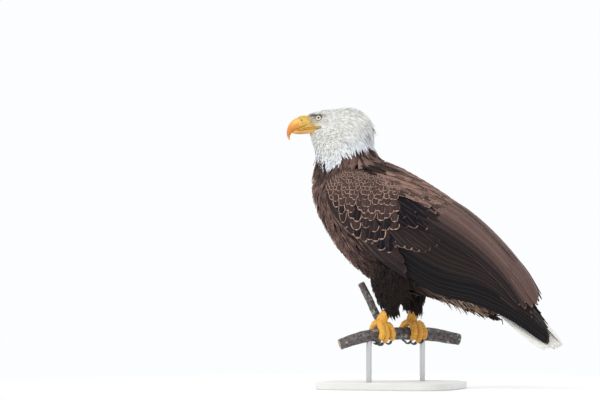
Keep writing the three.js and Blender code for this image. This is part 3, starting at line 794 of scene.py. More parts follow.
def scatter(mask, spacing, seed):
    """Places spread evenly, but in no rows, over the masked part of the form, with the faces they are on."""
    rng = np.random.default_rng(seed)
    faces = np.flatnonzero(mask[FORM_FACES].all(axis=1))
    corners = FORM_POINTS[FORM_FACES[faces]]
    sizes = np.linalg.norm(np.cross(corners[:, 1] - corners[:, 0], corners[:, 2] - corners[:, 0]), axis=1) / 2
    face_spacing = np.broadcast_to(spacing, len(FORM_POINTS))[FORM_FACES[faces]].mean(axis=1)
    chances = sizes / face_spacing**2
    tries = int(chances.sum() * 4)
    chosen = rng.choice(len(faces), tries, p=chances / chances.sum())
    a, b = rng.random((2, tries))
    a, b = np.where(a + b > 1, 1 - a, a), np.where(a + b > 1, 1 - b, b)
    c = corners[chosen]
    points = c[:, 0] + (c[:, 1] - c[:, 0]) * a[:, None] + (c[:, 2] - c[:, 0]) * b[:, None]
    gaps = face_spacing[chosen]
    cells, kept = {}, []
    grid = np.floor(points / gaps.max()).astype(int).tolist()
    neighbours = [(i, j, k) for i in (-1, 0, 1) for j in (-1, 0, 1) for k in (-1, 0, 1)]
    for index, (point, gap, (i, j, k)) in enumerate(zip(points.tolist(), gaps.tolist(), grid)):
        near = (other for di, dj, dk in neighbours for other in cells.get((i + di, j + dj, k + dk), ()))
        if all(math.dist(point, other) > gap for other in near):
            cells.setdefault((i, j, k), []).append(point)
            kept.append(index)
    return points[kept], faces[chosen[kept]], rng


def drifting(points, scale, seed=0.0):
    """A smooth random number for each place, about -0.5 to 0.5, that gathers feathers into locks."""
    places = points * np.asarray(scale, float) + [seed, 0, 0]
    return np.array([shapes.noise(Vector(place)) for place in places.tolist()])


def wrap(points, start, end, top):
    """A wrap-around map of points about the line from start to end, as (angle, length) in the unit square."""
    start, end = np.asarray(start, float), np.asarray(end, float)
    line = end - start
    reach = np.linalg.norm(line)
    line = line / reach
    top = lie(np.asarray(top, float)[None], line[None])[0]
    side = np.cross(line, top)
    away = points - start
    angle = np.arctan2(away @ side, away @ top) / (2 * math.pi) + 0.5
    return np.stack([0.01 + 0.98 * angle, 0.02 + 0.96 * np.clip(away @ line / reach, 0, 1)], axis=-1)


print("a tract can now be laid")

# %% [markdown]
# ## The feather finish
# A feather has a tinted vane, often a paler fringe round its tip, a quill down the middle, and fine barbs
# that slant away from the quill. All four are drawn from the blade's own map: across tells how far a
# place is from the quill, and along how far down the feather.


# %% Feather finish
def feather_finish(name, fringe, barbs=60.0, rough=0.78, rim=0.16, tip_rim=0.05, shade=0.45, streak=0.5,
                   quill=0.12):
    """Barbs are counted along a feather; rim and tip_rim are the fringe's widths; the rest are shares."""
    made = Finish(name)
    tint = made.painted()
    coded = tint.node.outputs["Alpha"]  # up to 1 it is the fringe's strength, and past 1 it widens the fringe
    strength = made.math("MINIMUM", coded, 1.0)
    wider = made.scaled(made.math("MAXIMUM", made.scaled(coded, 1.0, -1.0), 0.0), 0.25)
    place = made.add("ShaderNodeSeparateXYZ", i0=made.add("ShaderNodeUVMap", settings={"uv_map": "blade"}))
    sided = made.scaled(place, 2.0, -1.0)
    across = made.math("ABSOLUTE", sided)
    along = place.node.outputs["Y"]
    waver = made.noise(170.0, 2.0)
    wide = made.math("ADD", made.scaled(made.scaled(waver, 1.0, -0.5), rim, across), wider)
    at_side = made.ramp(wide, 1 - rim, 1 - rim * 0.55)
    at_tip = made.ramp(made.scaled(wider, 0.3, along), 1 - tip_rim, 1 - tip_rim * 0.55)
    edge = made.scaled(made.math("MAXIMUM", at_side, at_tip), made.ramp(along, 0.4, 0.7))
    slant = made.scaled(across, -0.3, along)
    barb = made.math("SINE", made.scaled(slant, barbs * 2 * math.pi))
    own = made.scaled(waver, 0.6, made.scaled(coded, 50.0))  # no two feathers alike
    split = made.add("ShaderNodeCombineXYZ", i0=made.scaled(slant, barbs * 0.55), i1=made.scaled(sided, 1.6),
                     i2=own)
    clumps = made.noise(1.0, 3.0, split, 0.6)
    dull = made.mix(0.65, (0, 0, 0), tint)
    colour = made.mix(made.ramp(clumps, 0.35, 0.7, 0.0, streak), tint, dull)
    colour = made.mix(made.ramp(waver, 0.3, 0.75, 0.0, 0.3), colour, dull)
    # painted shade: the tint darkens towards the root, where the feather lies under the ones above it
    colour = made.mix(made.ramp(along, 0.0, 0.75, shade, 0.0), colour, dull)
    colour = made.mix(made.ramp(across, 0.02, 0.08, quill, 0.0), colour, made.mix(0.5, tint, fringe))
    colour = made.mix(made.scaled(edge, strength), colour, fringe)
    made.bump(made.scaled(clumps, 2.0, barb), 0.0002, 0.5)
    return made.set(Base_Color=colour, Roughness=rough, Specular_IOR_Level=0.14)


BROWN_FEATHER = feather_finish("brown_feather", srgb(180, 150, 134), rim=0.14, streak=0.65, quill=0.2)
WHITE_FEATHER = feather_finish("white_feather", srgb(250, 250, 250), rim=0.1, shade=0.12, streak=0.14,
                               quill=0)
FLIGHT_FEATHER = feather_finish("flight_feather", srgb(150, 124, 110), 150.0, 0.62, rim=0.17, tip_rim=0.012)
print("finishes:", ", ".join(material.name for material in (BROWN_FEATHER, WHITE_FEATHER, FLIGHT_FEATHER)))

# %% [markdown]
# ## Bare feet
# The legs need a finer mesh than the body, because their toes lie side by side and carry rows of plates.
# They are fused with smaller cells. Then the plates are pressed into the top of each toe, one for every
# few degrees round the perch, and down the front of each leg, one for every few millimetres. The result
# is joined to the skin, so that hide and feathered body are one piece, and the joint lies inside the thigh.


# %% Feet with plates
def perch_rows():
    """The middle of the perch, read from its solid in slices square to its length, and its direction."""
    solid = np.array([v.co[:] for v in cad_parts["perch"].data.vertices])
    middle = solid.mean(axis=0)
    way = np.linalg.svd(solid - middle)[2][0]
    way = way * np.sign(way[1])
    place = (solid - middle) @ way
    stops = np.linspace(place.min() + 0.004, place.max() - 0.004, 25)
    rows = []
    for stop in stops:
        near = np.abs(place - stop) < 0.013
        low, high = solid[near].min(axis=0), solid[near].max(axis=0)
        lean = middle + way * stop
        rows.append([lean[0], lean[1], (low[2] + high[2]) / 2])
    return np.array(rows), way


PERCH_MIDDLE, PERCH_WAY = perch_rows()
FOOT_CELL, PLATE_DEGREES, PLATE_STEP = 1.1 * MM, 14.0, 5.2 * MM
PLATE_HEIGHT, WART_HEIGHT = 1.5 * MM, 1.6 * MM
FOOT_YELLOW, FOOT_SHADE = srgb(240, 178, 66), srgb(190, 120, 40)
feet = fuse(merged_copy("feet", FEET), FOOT_CELL, 5)
points, normals, _ = mesh_arrays(feet.data)
index = np.linalg.norm(points[:, None] - PERCH_MIDDLE[None], axis=2).argmin(axis=1)
ahead = unit(np.cross(PERCH_WAY, [0, 0, 1.0]))
ahead = ahead * -np.sign(ahead[0])  # towards the breast
centre = PERCH_MIDDLE[index]
centre = centre + PERCH_WAY * ((points - centre) @ PERCH_WAY)[:, None]
outward = unit(points - centre)
swing = np.degrees(np.arctan2(outward[:, 2], outward @ ahead))
top_of_toe = smoothstep(0.35, 0.75, np.sum(outward * normals, axis=1))
on_leg = smoothstep(0.030, 0.036, np.linalg.norm(points - centre, axis=1))
on_front = smoothstep(0.1, 0.6, normals @ ahead) * on_leg
on_top = top_of_toe * (1 - on_leg)
toe_wave = 1 - np.abs(2 * ((swing / PLATE_DEGREES) % 1) - 1) ** 5
leg_wave = 1 - np.abs(2 * ((points[:, 2] / PLATE_STEP) % 1) - 1) ** 4
rise = toe_wave * on_top + leg_wave * on_front
warts = drifting(points, 300) * (1 - np.maximum(top_of_toe, on_front))
move_points(feet.data, points + normals * (rise * PLATE_HEIGHT + warts * WART_HEIGHT)[:, None])

whole = bmesh.new()
whole.from_mesh(form.data)
whole.from_mesh(feet.data)
whole.to_mesh(form.data)
whole.free()
bpy.data.objects.remove(feet)
# painted shade: FOOT_SHADE in the grooves between the plates, where they do not rise
foot_tint = blended(FOOT_YELLOW, FOOT_SHADE, np.clip(1.3 * (on_top + on_front - rise), 0, 1))
bare_share = np.concatenate([np.zeros(len(skin_tint)), np.ones(len(foot_tint))])
print(f"skin with feet: {len(form.data.polygons)} faces")

# %% [markdown]
# ## The skin's finish
# Down between the feathers the skin is only a dull ground in the colour of the plumage round it. On the
# legs it is bare, waxy yellow hide, covered in small round scales that are drawn as cells.

# %% Skin finish
paint(form.data, np.concatenate([skin_tint, foot_tint]), bare_share)
skin = Finish("skin")
tint = skin.painted()
hide = tint.node.outputs["Alpha"]
mottle = skin.noise(260.0, 3.0)
distance_to_edge = {"feature": "DISTANCE_TO_EDGE"}
cells = skin.add("ShaderNodeTexVoronoi", settings=distance_to_edge, Scale=700.0, Vector=skin.where())
groove = skin.scaled(skin.ramp(cells, 0.0, 0.16, 1.0, 0.0), hide)
skin.bump(skin.scaled(groove, -1.0, mottle), 0.0005, 0.5)
mottled = skin.mix(skin.ramp(mottle, 0.35, 0.7, 0.3, 0.0), tint, skin.mix(0.5, tint, (0.04, 0.02, 0.01)))
# the grooves between the scales are tinted darker: painted shade
skin.set(
    Base_Color=skin.mix(skin.scaled(groove, 0.12), mottled, srgb(160, 100, 40)),
    Roughness=skin.scaled(hide, -0.4, 0.85),
)
enter(form, skin.material, "brown_plumage", *FLESH, *TOES, "cere")

# %% [markdown]
# ## Head and neck feathers
# The face has short dense scales of feather, the crown longer ones, and the neck long pointed hackles that
# hang over the breast in a ragged edge. One rule gives spacing, length and width by the distance from the
# root of the bill, so the change is gradual. The hackles at the back of the head stand out a little.

# %% Head and neck coat
EYE = over_perch([-159.5, -16.5, 464.6])
EYE_CLEAR = 7.0 * MM
DISTANCE_STEPS = [15, 45, 85, 125, 175]
HACKLE_SPACING = [1.35, 1.8, 2.3, 2.9, 3.5]
HACKLE_LENGTH = [4.5, 12, 24, 38, 52]
HACKLE_WIDTH = [1.8, 2.6, 3.5, 4.6, 5.8]
HACKLE_LIFT = [0.1, 0.15, 0.2, 0.3, 0.7]
SIDE_VIEW = [0, 2]  # the columns of x and z
LIPS = [  # the two ends of each lip as x and height, and how far it stays clear of feathers
    ((-204, 444.2), (-161, 445), 2.4),
    ((-204, 437), (-176, 439), 3.6),
]
NECK_BOTTOM, NECK_TOP = (-0.09, 0, 0.40), (-0.12, 0, 0.62)


def by_distance(distance, values):
    return np.interp(distance / MM, DISTANCE_STEPS, values) * MM


def from_segment(points, start, end):
    share = np.clip((points - start) @ (end - start) / np.dot(end - start, end - start), 0, 1)
    return np.linalg.norm(points - start - share[:, None] * (end - start), axis=1)


def head_tint(points, rng, over_border):
    """Whites with streaks of painted shade, greyer on the crown and bluish in the lowest hackles."""
    count = len(points)
    away = turn_head(points, -1) - BILL_ROOT
    reach = np.linalg.norm(away, axis=1)[:, None]
    streaks = drifting(away / reach * 0.1 + 0.16 * reach, 240, 5.0)  # drawn out along the lie
    light = rng.beta(2.2, 1.2, count) + 0.5 * drifting(points, 110, 9.0) + 1.1 * streaks
    made = blended(SHADED_WHITE, WHITE, np.clip(light, 0, 1))
    made = made * (1 - 0.12 * smoothstep(462, 480, head_millimetres(points)[:, 2]))[:, None]
    low = smoothstep(60 * MM, -6 * MM, over_border) * rng.uniform(0.4, 1, count)
    return face_colours(points, blended(made, BLUISH_WHITE, low))


def white_patch(name, mask, seed, stand_back):
    """A coat of hackles. stand_back is how far those at the back of the head stand off."""
    roots, faces, rng = scatter(mask, by_distance(FORM_FROM_BILL, HACKLE_SPACING), seed)
    first = FORM_FACES[faces, 0]
    distance, count = from_bill(roots), len(roots)
    length = by_distance(distance, HACKLE_LENGTH) * rng.uniform(0.75, 1.25, count)
    local = turn_head(roots, -1)
    to_eye = np.linalg.norm((local - EYE)[:, SIDE_VIEW], axis=1)
    before_eye = (local[:, 0] < EYE[0]) & (to_eye < 14 * MM)
    length = np.where(before_eye, np.clip(to_eye - 5.8 * MM, 1.6 * MM, length), length)  # the eye stays clear
    rear = smoothstep(0.05, 0.10, local[:, 0] - BILL_ROOT[0]) * smoothstep(0.0, 0.7, FORM_NORMALS[first, 0])
    stand = stand_back * rear * rng.random(count) ** 2
    spines, normals = feather_spines(
        roots, faces, length,
        depth=0.8 * FORM_DEPTH[first],
        lift=by_distance(distance, HACKLE_LIFT) * rng.uniform(0.2, 1.5, count),
        sway=0.5 * drifting(roots, 45) + rng.normal(0, 0.05, count), stand=stand,
    )
    tips = spines[:, -1]
    over_border = tips[:, 2] - border_height(tips) + rng.normal(0, 3.0, count) * MM
    colours = head_tint(spines[:, 1], rng, over_border)
    widths = by_distance(distance, HACKLE_WIDTH) * rng.uniform(0.8, 1.2, count)
    keep = over_border > 0
    tract = Tract()
    tract.lay(HACKLE, spines[keep], normals[keep], widths[keep], colours[keep], 0,
              wrap(roots[keep], NECK_BOTTOM, NECK_TOP, (1, 0, 0)))
    tract.piece(name, WHITE_FEATHER, "white_plumage")


side_view = HEAD_FRAME_POINTS[:, SIDE_VIEW]
near_eye = np.linalg.norm((side_view - EYE[SIDE_VIEW] + [1.4 * MM, 0]) * [1, 1.12], axis=1) < EYE_CLEAR
near_eye &= np.abs(HEAD_FRAME_POINTS[:, 1]) > 14 * MM
near_lips = np.zeros(len(side_view), dtype=bool)
for start, end, clear in LIPS:
    start, end = (over_perch([x, 0, z])[SIDE_VIEW] for x, z in (start, end))
    near_lips |= from_segment(side_view, start, end) < clear * MM
near_lips &= in_region("head", "cere", "neck")
FORM_FROM_BILL = from_bill(FORM_POINTS)
white_enough = FORM_POINTS[:, 2] > border_height(FORM_POINTS) - 8 * MM
pale_part = in_region("head", "neck", "trunk") & ~near_eye & ~near_lips & white_enough
pale_part &= HEAD_FRAME_POINTS[:, 0] > -189 * MM
for name, start, end, seed, stand_back in (
    ("face_coat", 0, 72, 11, 0.0),
    ("crown_coat", 70, 118, 12, 0.45),
    ("hackle_coat", 114, 999, 13, 0.6),
):
    band = (FORM_FROM_BILL >= start * MM) & (FORM_FROM_BILL < end * MM)
    white_patch(name, pale_part & band, seed, stand_back)

# %% [markdown]
# ## The folded wing as a surface
# A folded wing lies against the body like a shingled shell. Its solids follow one smooth hull round the
# body axis, so a place on the wing is a distance along the body, a height, and how far it stands off that
# hull. The same functions serve both wings, because the right one is a mirror image folded a little more.

# %% Wing hull
WING_HULL = np.array([  # along, top, bottom, half width, in millimetres
    [-60, 58, -52, 64], [-30, 84, -80, 88], [20, 100, -112, 102], [80, 109, -130, 106], [140, 117, -136, 104],
    [200, 121, -136, 97], [260, 122, -130, 87], [320, 117, -120, 77], [390, 102, -110, 69],
    [450, 78, -104, 63], [500, 50, -98, 60], [550, 41, -92, 57], [600, 34, -86, 54],
])
WING_EDGES = np.array([  # along, lower edge, upper edge
    [-20, -12, 20], [0, -24, 52], [25, -35, 70], [60, -46, 84], [110, -54, 98], [170, -64, 109],
    [230, -60, 115], [290, -60, 113], [350, -43, 106], [400, -27, 98], [450, -11, 81], [500, 1, 50],
    [530, 7, 40], [562, 13, 32],
])
RIGHT_WING_SHORTER = 24


def softened(table, reach=16.0):
    """A table of knots as a fine table with its corners rounded."""
    fine = np.arange(table[0, 0], table[-1, 0] + 1, 2.0)
    columns = [fine]
    spread = np.exp(-((np.arange(-24, 25) * 2.0) ** 2) / (2 * reach**2))
    for column in table.T[1:]:
        values = np.interp(fine, table[:, 0], column)
        padded = np.pad(values, 24, mode="reflect", reflect_type="odd")
        columns.append(np.convolve(padded, spread / spread.sum(), mode="valid"))
    return np.column_stack(columns)


HULL_FINE, EDGES_FINE = softened(WING_HULL), softened(WING_EDGES, 8.0)


def lower_edge(s):
    return column_at(EDGES_FINE, s, 1)


def upper_edge(s):
    return column_at(EDGES_FINE, s, 2)


def hull_at(s):
    """The height of the hull's middle, its half height and its half width at a distance along."""
    top, bottom, half = (column_at(HULL_FINE, s, column) for column in (1, 2, 3))
    return (top + bottom) / 2, (top - bottom) / 2, half


def off_hull(s, h, y, up, sideways, out, side):
    """Places that stand out from the hull, and their outward directions."""
    size = np.hypot(up, sideways)
    up, sideways = up / size, sideways / size
    points = from_axis(s * MM, (h + up * out) * MM, side * (y + sideways * out) * MM)
    return points, up[..., None] * UPWARD + (side * sideways)[..., None] * ACROSS


def on_wing(s, h, out, side):
    """Places and outward directions from millimetres along, up and out. side is -1 for the left wing."""
    middle, tall, half = hull_at(s)
    share = np.clip((h - middle) / tall, -0.985, 0.985)
    y = half * np.sqrt(1 - share * share)
    return off_hull(s, h, y, share / tall, y / half**2, out, side)


def on_ridge(s, angle, out, side):
    """The same by the angle from the ridge, for feathers that close over the back."""
    middle, tall, half = hull_at(s)
    up, sideways = np.cos(angle), np.sin(angle)
    return off_hull(s, middle + tall * up, half * sideways, up / tall, sideways / half, out, side)


def ridge_angle(s, h):
    """The angle from the ridge of a place given by its height."""
    middle, tall, _ = hull_at(s)
    return np.arccos(np.clip((h - middle) / tall, -1, 1))


def wing_places(s, h, side):
    """Places on a flat map of the wings: the left one below, the right one above."""
    bottom = 0.02 if side < 0 else 0.52
    return np.stack([0.02 + 0.95 * (s + 60) / 660, bottom + 0.46 * (h + 90) / 240], axis=-1)


def feather_on_wing(tract, shape, knots, out, widths, colours, fringe, side, outer=None):
    """knots is (feathers, knots, 2) of along and height; out is (feathers, knots)."""
    spines, normals = on_wing(knots[..., 0], knots[..., 1], out, side)
    places = wing_places(knots[:, 0, 0], knots[:, 0, 1], side)
    tract.lay(shape, spines, normals, widths * MM, colours, fringe, places, outer)


print(f"wing hull from {HULL_FINE[0, 0]:.0f} to {HULL_FINE[-1, 0]:.0f} mm along the body")

# %% [markdown]
# ## Body feathers
# The breast is a shaggy coat of narrow streaked feathers, the back has broad rounded ones with paler
# edges, and the thighs are trousered in short dark ones. The same scatter and the same lie serve for all.

# %% Breast, back, belly and thigh coats
along_all, height_all, _ = to_axis(FORM_POINTS).T
FORM_WING = evened(in_region("wing"), 10)[:, 0]
CAPE_SHADOW = [(-81, 351, 2.5), (-50, 350.5, 6.5), (-27, 349.6, 7.5), (-2, 352, 5.5), (26, 345, 2.5)]
CAPE_SHADOW = spline(CAPE_SHADOW, 40)  # across, height and half height of the dark streak
THIGH_END = min(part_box(f"thigh_{side}")[0][2] for side in LABELS)
SIDE_LOOK = math.radians(18)  # the streak is drawn as seen from a little behind the bird's side
SIDE_ACROSS = np.array([math.cos(SIDE_LOOK), math.sin(SIDE_LOOK), 0])
SIDE_AWAY = np.array([-math.sin(SIDE_LOOK), math.cos(SIDE_LOOK), 0])
FEET_TREE = tree_of(FEET)


def in_cape_shadow(points):
    """How far places lie in the dark streak under the edge of the mantle: painted shadow, and partly dark
    feathers.
    """
    left = points * [1, 0, 1] - np.abs(points) * [0, 1, 0]
    seen = np.column_stack([left @ SIDE_ACROSS, points[:, 2] - PERCH_HEIGHT]) / MM
    gap = np.linalg.norm(seen[:, None] - CAPE_SHADOW[:, :2], axis=2) / CAPE_SHADOW[:, 2]
    return 1 - smoothstep(0.8, 1.3, gap.min(axis=1))


def in_foot(points):
    """Which places lie inside a foot."""
    inside = []
    for point in points.tolist():
        place, way, _, _ = FEET_TREE.find_nearest(point)
        inside.append((Vector(point) - place).dot(way) < 0.6 * MM)
    return np.array(inside)


def brown_patch(name, mask, seed, shape, spacing, length, width, lift, fringe, spread, stand):
    """A coat of brown feathers. spread is how much their direction varies, stand how far they stand off."""
    roots, faces, rng = scatter(mask, spacing * MM, seed)
    count, first = len(roots), FORM_FACES[faces, 0]
    hanging = smoothstep(THIGH_END + 0.034, THIGH_END + 0.014, roots[:, 2])  # over the bare leg
    spines, normals = feather_spines(
        roots, faces, rng.uniform(*length, count) * MM,
        depth=0.8 * FORM_DEPTH[first],
        lift=lift * MM * rng.uniform(0.2, 1.6, count) + 9 * MM * FORM_WING[first],
        sway=0.8 * drifting(roots, 50) + rng.normal(0, 0.6 * spread, count),
        stand=np.maximum(stand * rng.random(count) ** 2, hanging),
    )
    tips = spines[:, -1]
    keep = (tips[:, 2] < border_height(tips) + 3 * MM) & ~in_foot(tips) & ~in_foot(spines[:, 1])
    light = np.clip(rng.beta(1.0, 1.3, count) + 0.7 * drifting(roots, 60), 0, 1)
    light = light * (1 - 0.5 * smoothstep(0.05, 0.4, FORM_WING[first]))  # darker where the wing starts
    # painted shadow under the mantle's edge: darker colour and no fringe in the streak
    gap = in_cape_shadow((tips + spines[:, -2]) / 2)
    colours = brown_of(tips, light, FORM_THIGH[first]) * (1 - 0.85 * gap)[:, None]
    fringes = fringe * rng.uniform(0.3, 1, count) * (1 - gap)
    widths = rng.uniform(*width, count) * MM
    tract = Tract()
    tract.lay(shape, spines[keep], normals[keep], widths[keep], colours[keep], fringes[keep],
              wrap(roots[keep], SHOULDERS - ALONG * 0.1, SHOULDERS + ALONG * 0.6, UPWARD))
    tract.piece(name, BROWN_FEATHER, "brown_plumage")


wing_front = in_region("wing") & (FORM_WING < 0.72) & (height_all < -0.01)
body = (in_region("trunk", "neck") | wing_front) & (FORM_POINTS[:, 2] < border_height(FORM_POINTS) + 26 * MM)
back = body & (height_all > 0.012) & (along_all > -0.02)
front = body & ~back
for patch in (  # name, where, seed, blade, spacing, lengths, widths, lift, fringe, spread, stand
    ("breast_coat", front & (along_all < 0.2), 21, HACKLE, 4.6, (32, 52), (6, 10), 2.0, 0.5, 0.2, 0.3),
    ("belly_coat", front & (along_all >= 0.19), 22, PLUME, 6.5, (34, 50), (9, 14), 2.0, 0.15, 0.2, 0.35),
    ("back_coat", back & (FORM_WING < 0.4), 23, PLUME, 6.6, (36, 52), (9, 14), 2.0, 0.35, 0.14, 0.0),
    ("thigh_coat", in_region("thigh"), 24, HACKLE, 3.8, (18, 30), (5, 8), 1.2, 0.2, 0.2, 0.2),
):
    brown_patch(*patch)

# %% [markdown]
# ## Flight feathers
# On the folded wing the long primaries lie lowest. Over them come the secondaries and, on top against the
# back, the broad inner ones that hide the rest. Each shows only its outer vane, because the next feather
# covers its inner one. So each is laid a fraction of a millimetre further out than the one below it.

# %% Primaries, secondaries and inner feathers
PRIMARY_TIPS = [(562, 13), (562, 17), (560, 22), (555, 27), (548, 32), (538, 36), (524, 39), (508, 41)]
SECONDARY_TIPS = [(502, 35), (493, 41), (498, 47), (484, 54), (490, 60), (474, 67), (480, 73), (463, 80)]
INNER_TIPS = np.array([  # along, angle from the ridge, how brown, and how far the tip stands out
    (466, 0.86, 0.0, 0), (480, 0.76, 0.2, 0), (472, 0.66, 0.5, 2), (488, 0.57, 0.8, 6), (462, 0.50, 0.9, 3),
    (492, 0.42, 0.9, 10), (470, 0.35, 1.0, 4), (486, 0.28, 0.8, 12), (456, 0.21, 1.0, 2), (480, 0.14, 0.9, 9),
    (444, 0.08, 0.8, 2), (464, 0.02, 1.0, 5),
])
INNER_ROOT = 130
INNER_FOLD = {-1: (0, 0, 0.6), 1: (10, 0.04, 0)}  # how much shorter, nearer the ridge and further out
LOWEST_OUT, QUILL_LIFT, TIP_LIFT = -9.0, 0.62, 0.8
PRIMARY_TINT, SECONDARY_TINT = srgb(18, 16, 20), srgb(34, 26, 26)
# INNER_DARK on the lowest inner feathers is partly painted shadow and partly the real dark feathers among
# them
INNER_TINT, INNER_DARK = srgb(120, 93, 86), srgb(38, 30, 32)
SHARES, FIVE_KNOTS, THREE_KNOTS = (np.linspace(0, 1, knots) for knots in (7, 5, 3))
ROOT_SINK = 7 * (1 - smoothstep(0, 0.34, SHARES))


def primaries_top(s):
    share = 0.3 + 0.32 * smoothstep(230, 470, s)
    return lower_edge(s) * (1 - share) + upper_edge(s) * share


def flight_feathers(shorter):
    """The places along and up, widths, tints and fringes of one wing's quills, from the lowest up."""
    rows = []
    groups = [  # tips, root, first and last place between the edges, the edges, width, tint and fringe
        (PRIMARY_TIPS, 40, 0.0, 1.0, lower_edge, primaries_top, 30, PRIMARY_TINT, 0.12),
        (SECONDARY_TIPS, 80, 0.05, 0.72, primaries_top, upper_edge, 34, SECONDARY_TINT, 0.35),
    ]
    ends = smoothstep(0.45, 1, SHARES)
    for tips, root, low, high, bottom, top, width, tint, fringe in groups:
        for place, (tip_s, tip_h) in zip(np.linspace(low, high, len(tips)), tips):
            s = root + (tip_s - shorter - root) * SHARES
            h = bottom(s) * (1 - place) + top(s) * place
            if place == 0:
                h = h + 7
            rows.append((s, h * (1 - ends) + (tip_h + shorter * 0.3) * ends, width, tint, fringe))
    return (np.array(column) for column in zip(*rows))


def flight_piece(side, label):
    rng = np.random.default_rng(31 + side)
    tract = Tract()
    s, h, width, tint, fringe = flight_feathers(0 if side < 0 else RIGHT_WING_SHORTER)
    quills = len(s)
    knots = np.stack([s, h + rng.normal(0, 1.3, (quills, 1))], axis=-1)
    out = LOWEST_OUT + QUILL_LIFT * np.arange(quills)[:, None] + TIP_LIFT * SHARES - ROOT_SINK
    width = width * rng.uniform(0.92, 1.06, quills)
    shade = rng.uniform(0.8, 1.15, (quills, 1))
    fringe = fringe * rng.uniform(0.6, 1.2, quills)
    feather_on_wing(tract, QUILL, knots, out, width, tint * shade, fringe, side, np.full(quills, -side))

    count = len(INNER_TIPS)
    shorter, nearer, further = INNER_FOLD[side]
    reach, angle, brown, proud = INNER_TIPS.T[..., None]
    s = INNER_ROOT + (reach - shorter - INNER_ROOT) * SHARES
    angle = angle * (1.25 - 0.25 * SHARES) - nearer
    out = LOWEST_OUT + QUILL_LIFT * (quills + 0.55 * np.arange(count))[:, None] + TIP_LIFT * SHARES + further
    out = out - ROOT_SINK + proud * smoothstep(0.6, 1.0, SHARES)
    spines, normals = on_ridge(s, angle, out, side)
    brown = (brown * rng.choice([0.35, 0.8, 1.0], (count, 1), p=[0.25, 0.3, 0.45]))[:, 0]
    colours = blended(INNER_DARK, np.array(INNER_TINT) * rng.uniform(0.85, 1.1, (count, 1)), brown)
    fringe = rng.uniform(0.6, 1.1, count) * (0.4 + 0.6 * brown)
    width = rng.uniform(20, 25, count) * MM
    places = wing_places(s[:, 0], 100 - 90 * angle[:, 0], side)
    tract.lay(QUILL, spines, normals, width, colours, fringe, places, np.full(count, -side))
    nodes = (f"wing_{label}_primaries", f"wing_{label}_secondaries")
    tract.piece(f"flight_feathers_{label}", FLIGHT_FEATHER, "dark_quills", *nodes)


for side, label in SIDES:
    flight_piece(side, label)

# %% [markdown]
# ## Wing coverts
# Coverts are the small feathers that cover the roots of the quills. At the shoulder they are tiny and in
# many rows. Each lower row is larger, and the last one is nearly as long as a hand. The rows run level at
# the front of the wing and swing round the shoulder behind. Each has a pinkish tan edge, and together
# these edges make the scaly pattern of the wing.

# %% Wing coverts
DOME = np.array([[-21, -13], [-20, 12], [-17, 37], [-2, 50], [16, 59], [55, 76], [110, 92]])  # front edge
REACH = ([-60, -36, 0, 40, 70, 100], [110, 180, 172, 148, 112, 92])  # heights, and how far the rows go back
SWING_CENTRE = (27.6, 342.0)
ROWS_START_Z = 349.0
ROWS_END = 180
GREATER_TIPS = np.array([
    (72, -46), (92, -50), (110, -50), (126, -46), (141, -41), (157, -34), (172, -25), (186, -15), (200, -5),
    (214, 2), (228, 7), (242, 13), (248, 24), (251, 38), (250, 52), (247, 66),
], float)
DARK_TIPS = np.array([
    (150, 8), (164, 22), (176, 36), (196, 44), (213, 54), (222, 66), (233, 79), (222, 88), (206, 94),
    (186, 84), (170, 66), (186, 60), (200, 74), (158, 46),
], float)
COVERT_BROWN, COVERT_DARK, BLUE_BLACK = srgb(85, 65, 61), srgb(52, 40, 41), srgb(20, 17, 24)


def axis_from_side(x, z):
    """Along and height from x and z, all in millimetres and with z from the perch."""
    dx, dz = x - SHOULDERS[0] / MM, z - (SHOULDERS[2] - PERCH_HEIGHT) / MM
    return dx * ALONG[0] + dz * ALONG[2], dx * UPWARD[0] + dz * UPWARD[2]


def covert_rows():
    """Tips, directions, steps, spacings and depths of the small coverts, row by row."""
    made, depth_below = [], 3.0
    while depth_below < ROWS_END:
        step = 4 + 0.14 * depth_below
        spacing = 0.8 * step + 1
        stagger = 0.5 * spacing * (len(made) % 2)
        row = []
        x = SWING_CENTRE[0] - stagger
        while x > -150:
            row.append((x, ROWS_START_Z - depth_below, 0.0))
            x -= spacing
        radius = depth_below - (ROWS_START_Z - SWING_CENTRE[1])
        if radius > 4:
            angle = (spacing - stagger) / radius
            while angle < math.radians(74):
                x = SWING_CENTRE[0] + radius * math.sin(angle)
                row.append((x, SWING_CENTRE[1] - radius * math.cos(angle), angle))
                angle += spacing / radius
        made.append([(*item, step, spacing, depth_below) for item in row])
        depth_below += step
    return made


def lay_coverts(tract, side, tips, angles, lengths, widths, colours, fringe, out_root, out_tip):
    """Lays coverts by their tips, which lie at out_tip; their roots lie at out_root."""
    way = np.stack([np.cos(angles), np.sin(angles)], axis=-1)
    knots = tips[:, None] - way[:, None] * (lengths[:, None] * (1 - FIVE_KNOTS))[..., None]
    out = np.asarray(out_root)[..., None] * (1 - FIVE_KNOTS) + np.asarray(out_tip)[..., None] * FIVE_KNOTS
    out = np.broadcast_to(out, knots.shape[:2])
    feather_on_wing(tract, SCALE, knots, out, widths, colours, fringe, side)


def long_coverts(tract, side, rng):
    """The long dark coverts over the primaries."""
    inward = np.arange(3, 46, 6.0)
    count = len(inward)
    tips = 236 - 0.8 * inward + rng.uniform(-14, 9, count)
    along = 66 + (tips[:, None] - 66) * SHARES
    knots = np.stack([along, lower_edge(along) + inward[:, None] * (1 - 0.2 * SHARES)], axis=-1)
    colours = blended(COVERT_DARK, BLUE_BLACK, rng.random(count))
    fringe, widths = rng.uniform(0, 0.06, count), rng.uniform(17, 20, count)
    out = -3.6 + 0.3 * np.arange(count)[:, None] + 1.2 * SHARES
    feather_on_wing(tract, QUILL, knots, out, widths, colours, fringe, side, np.full(count, -side))


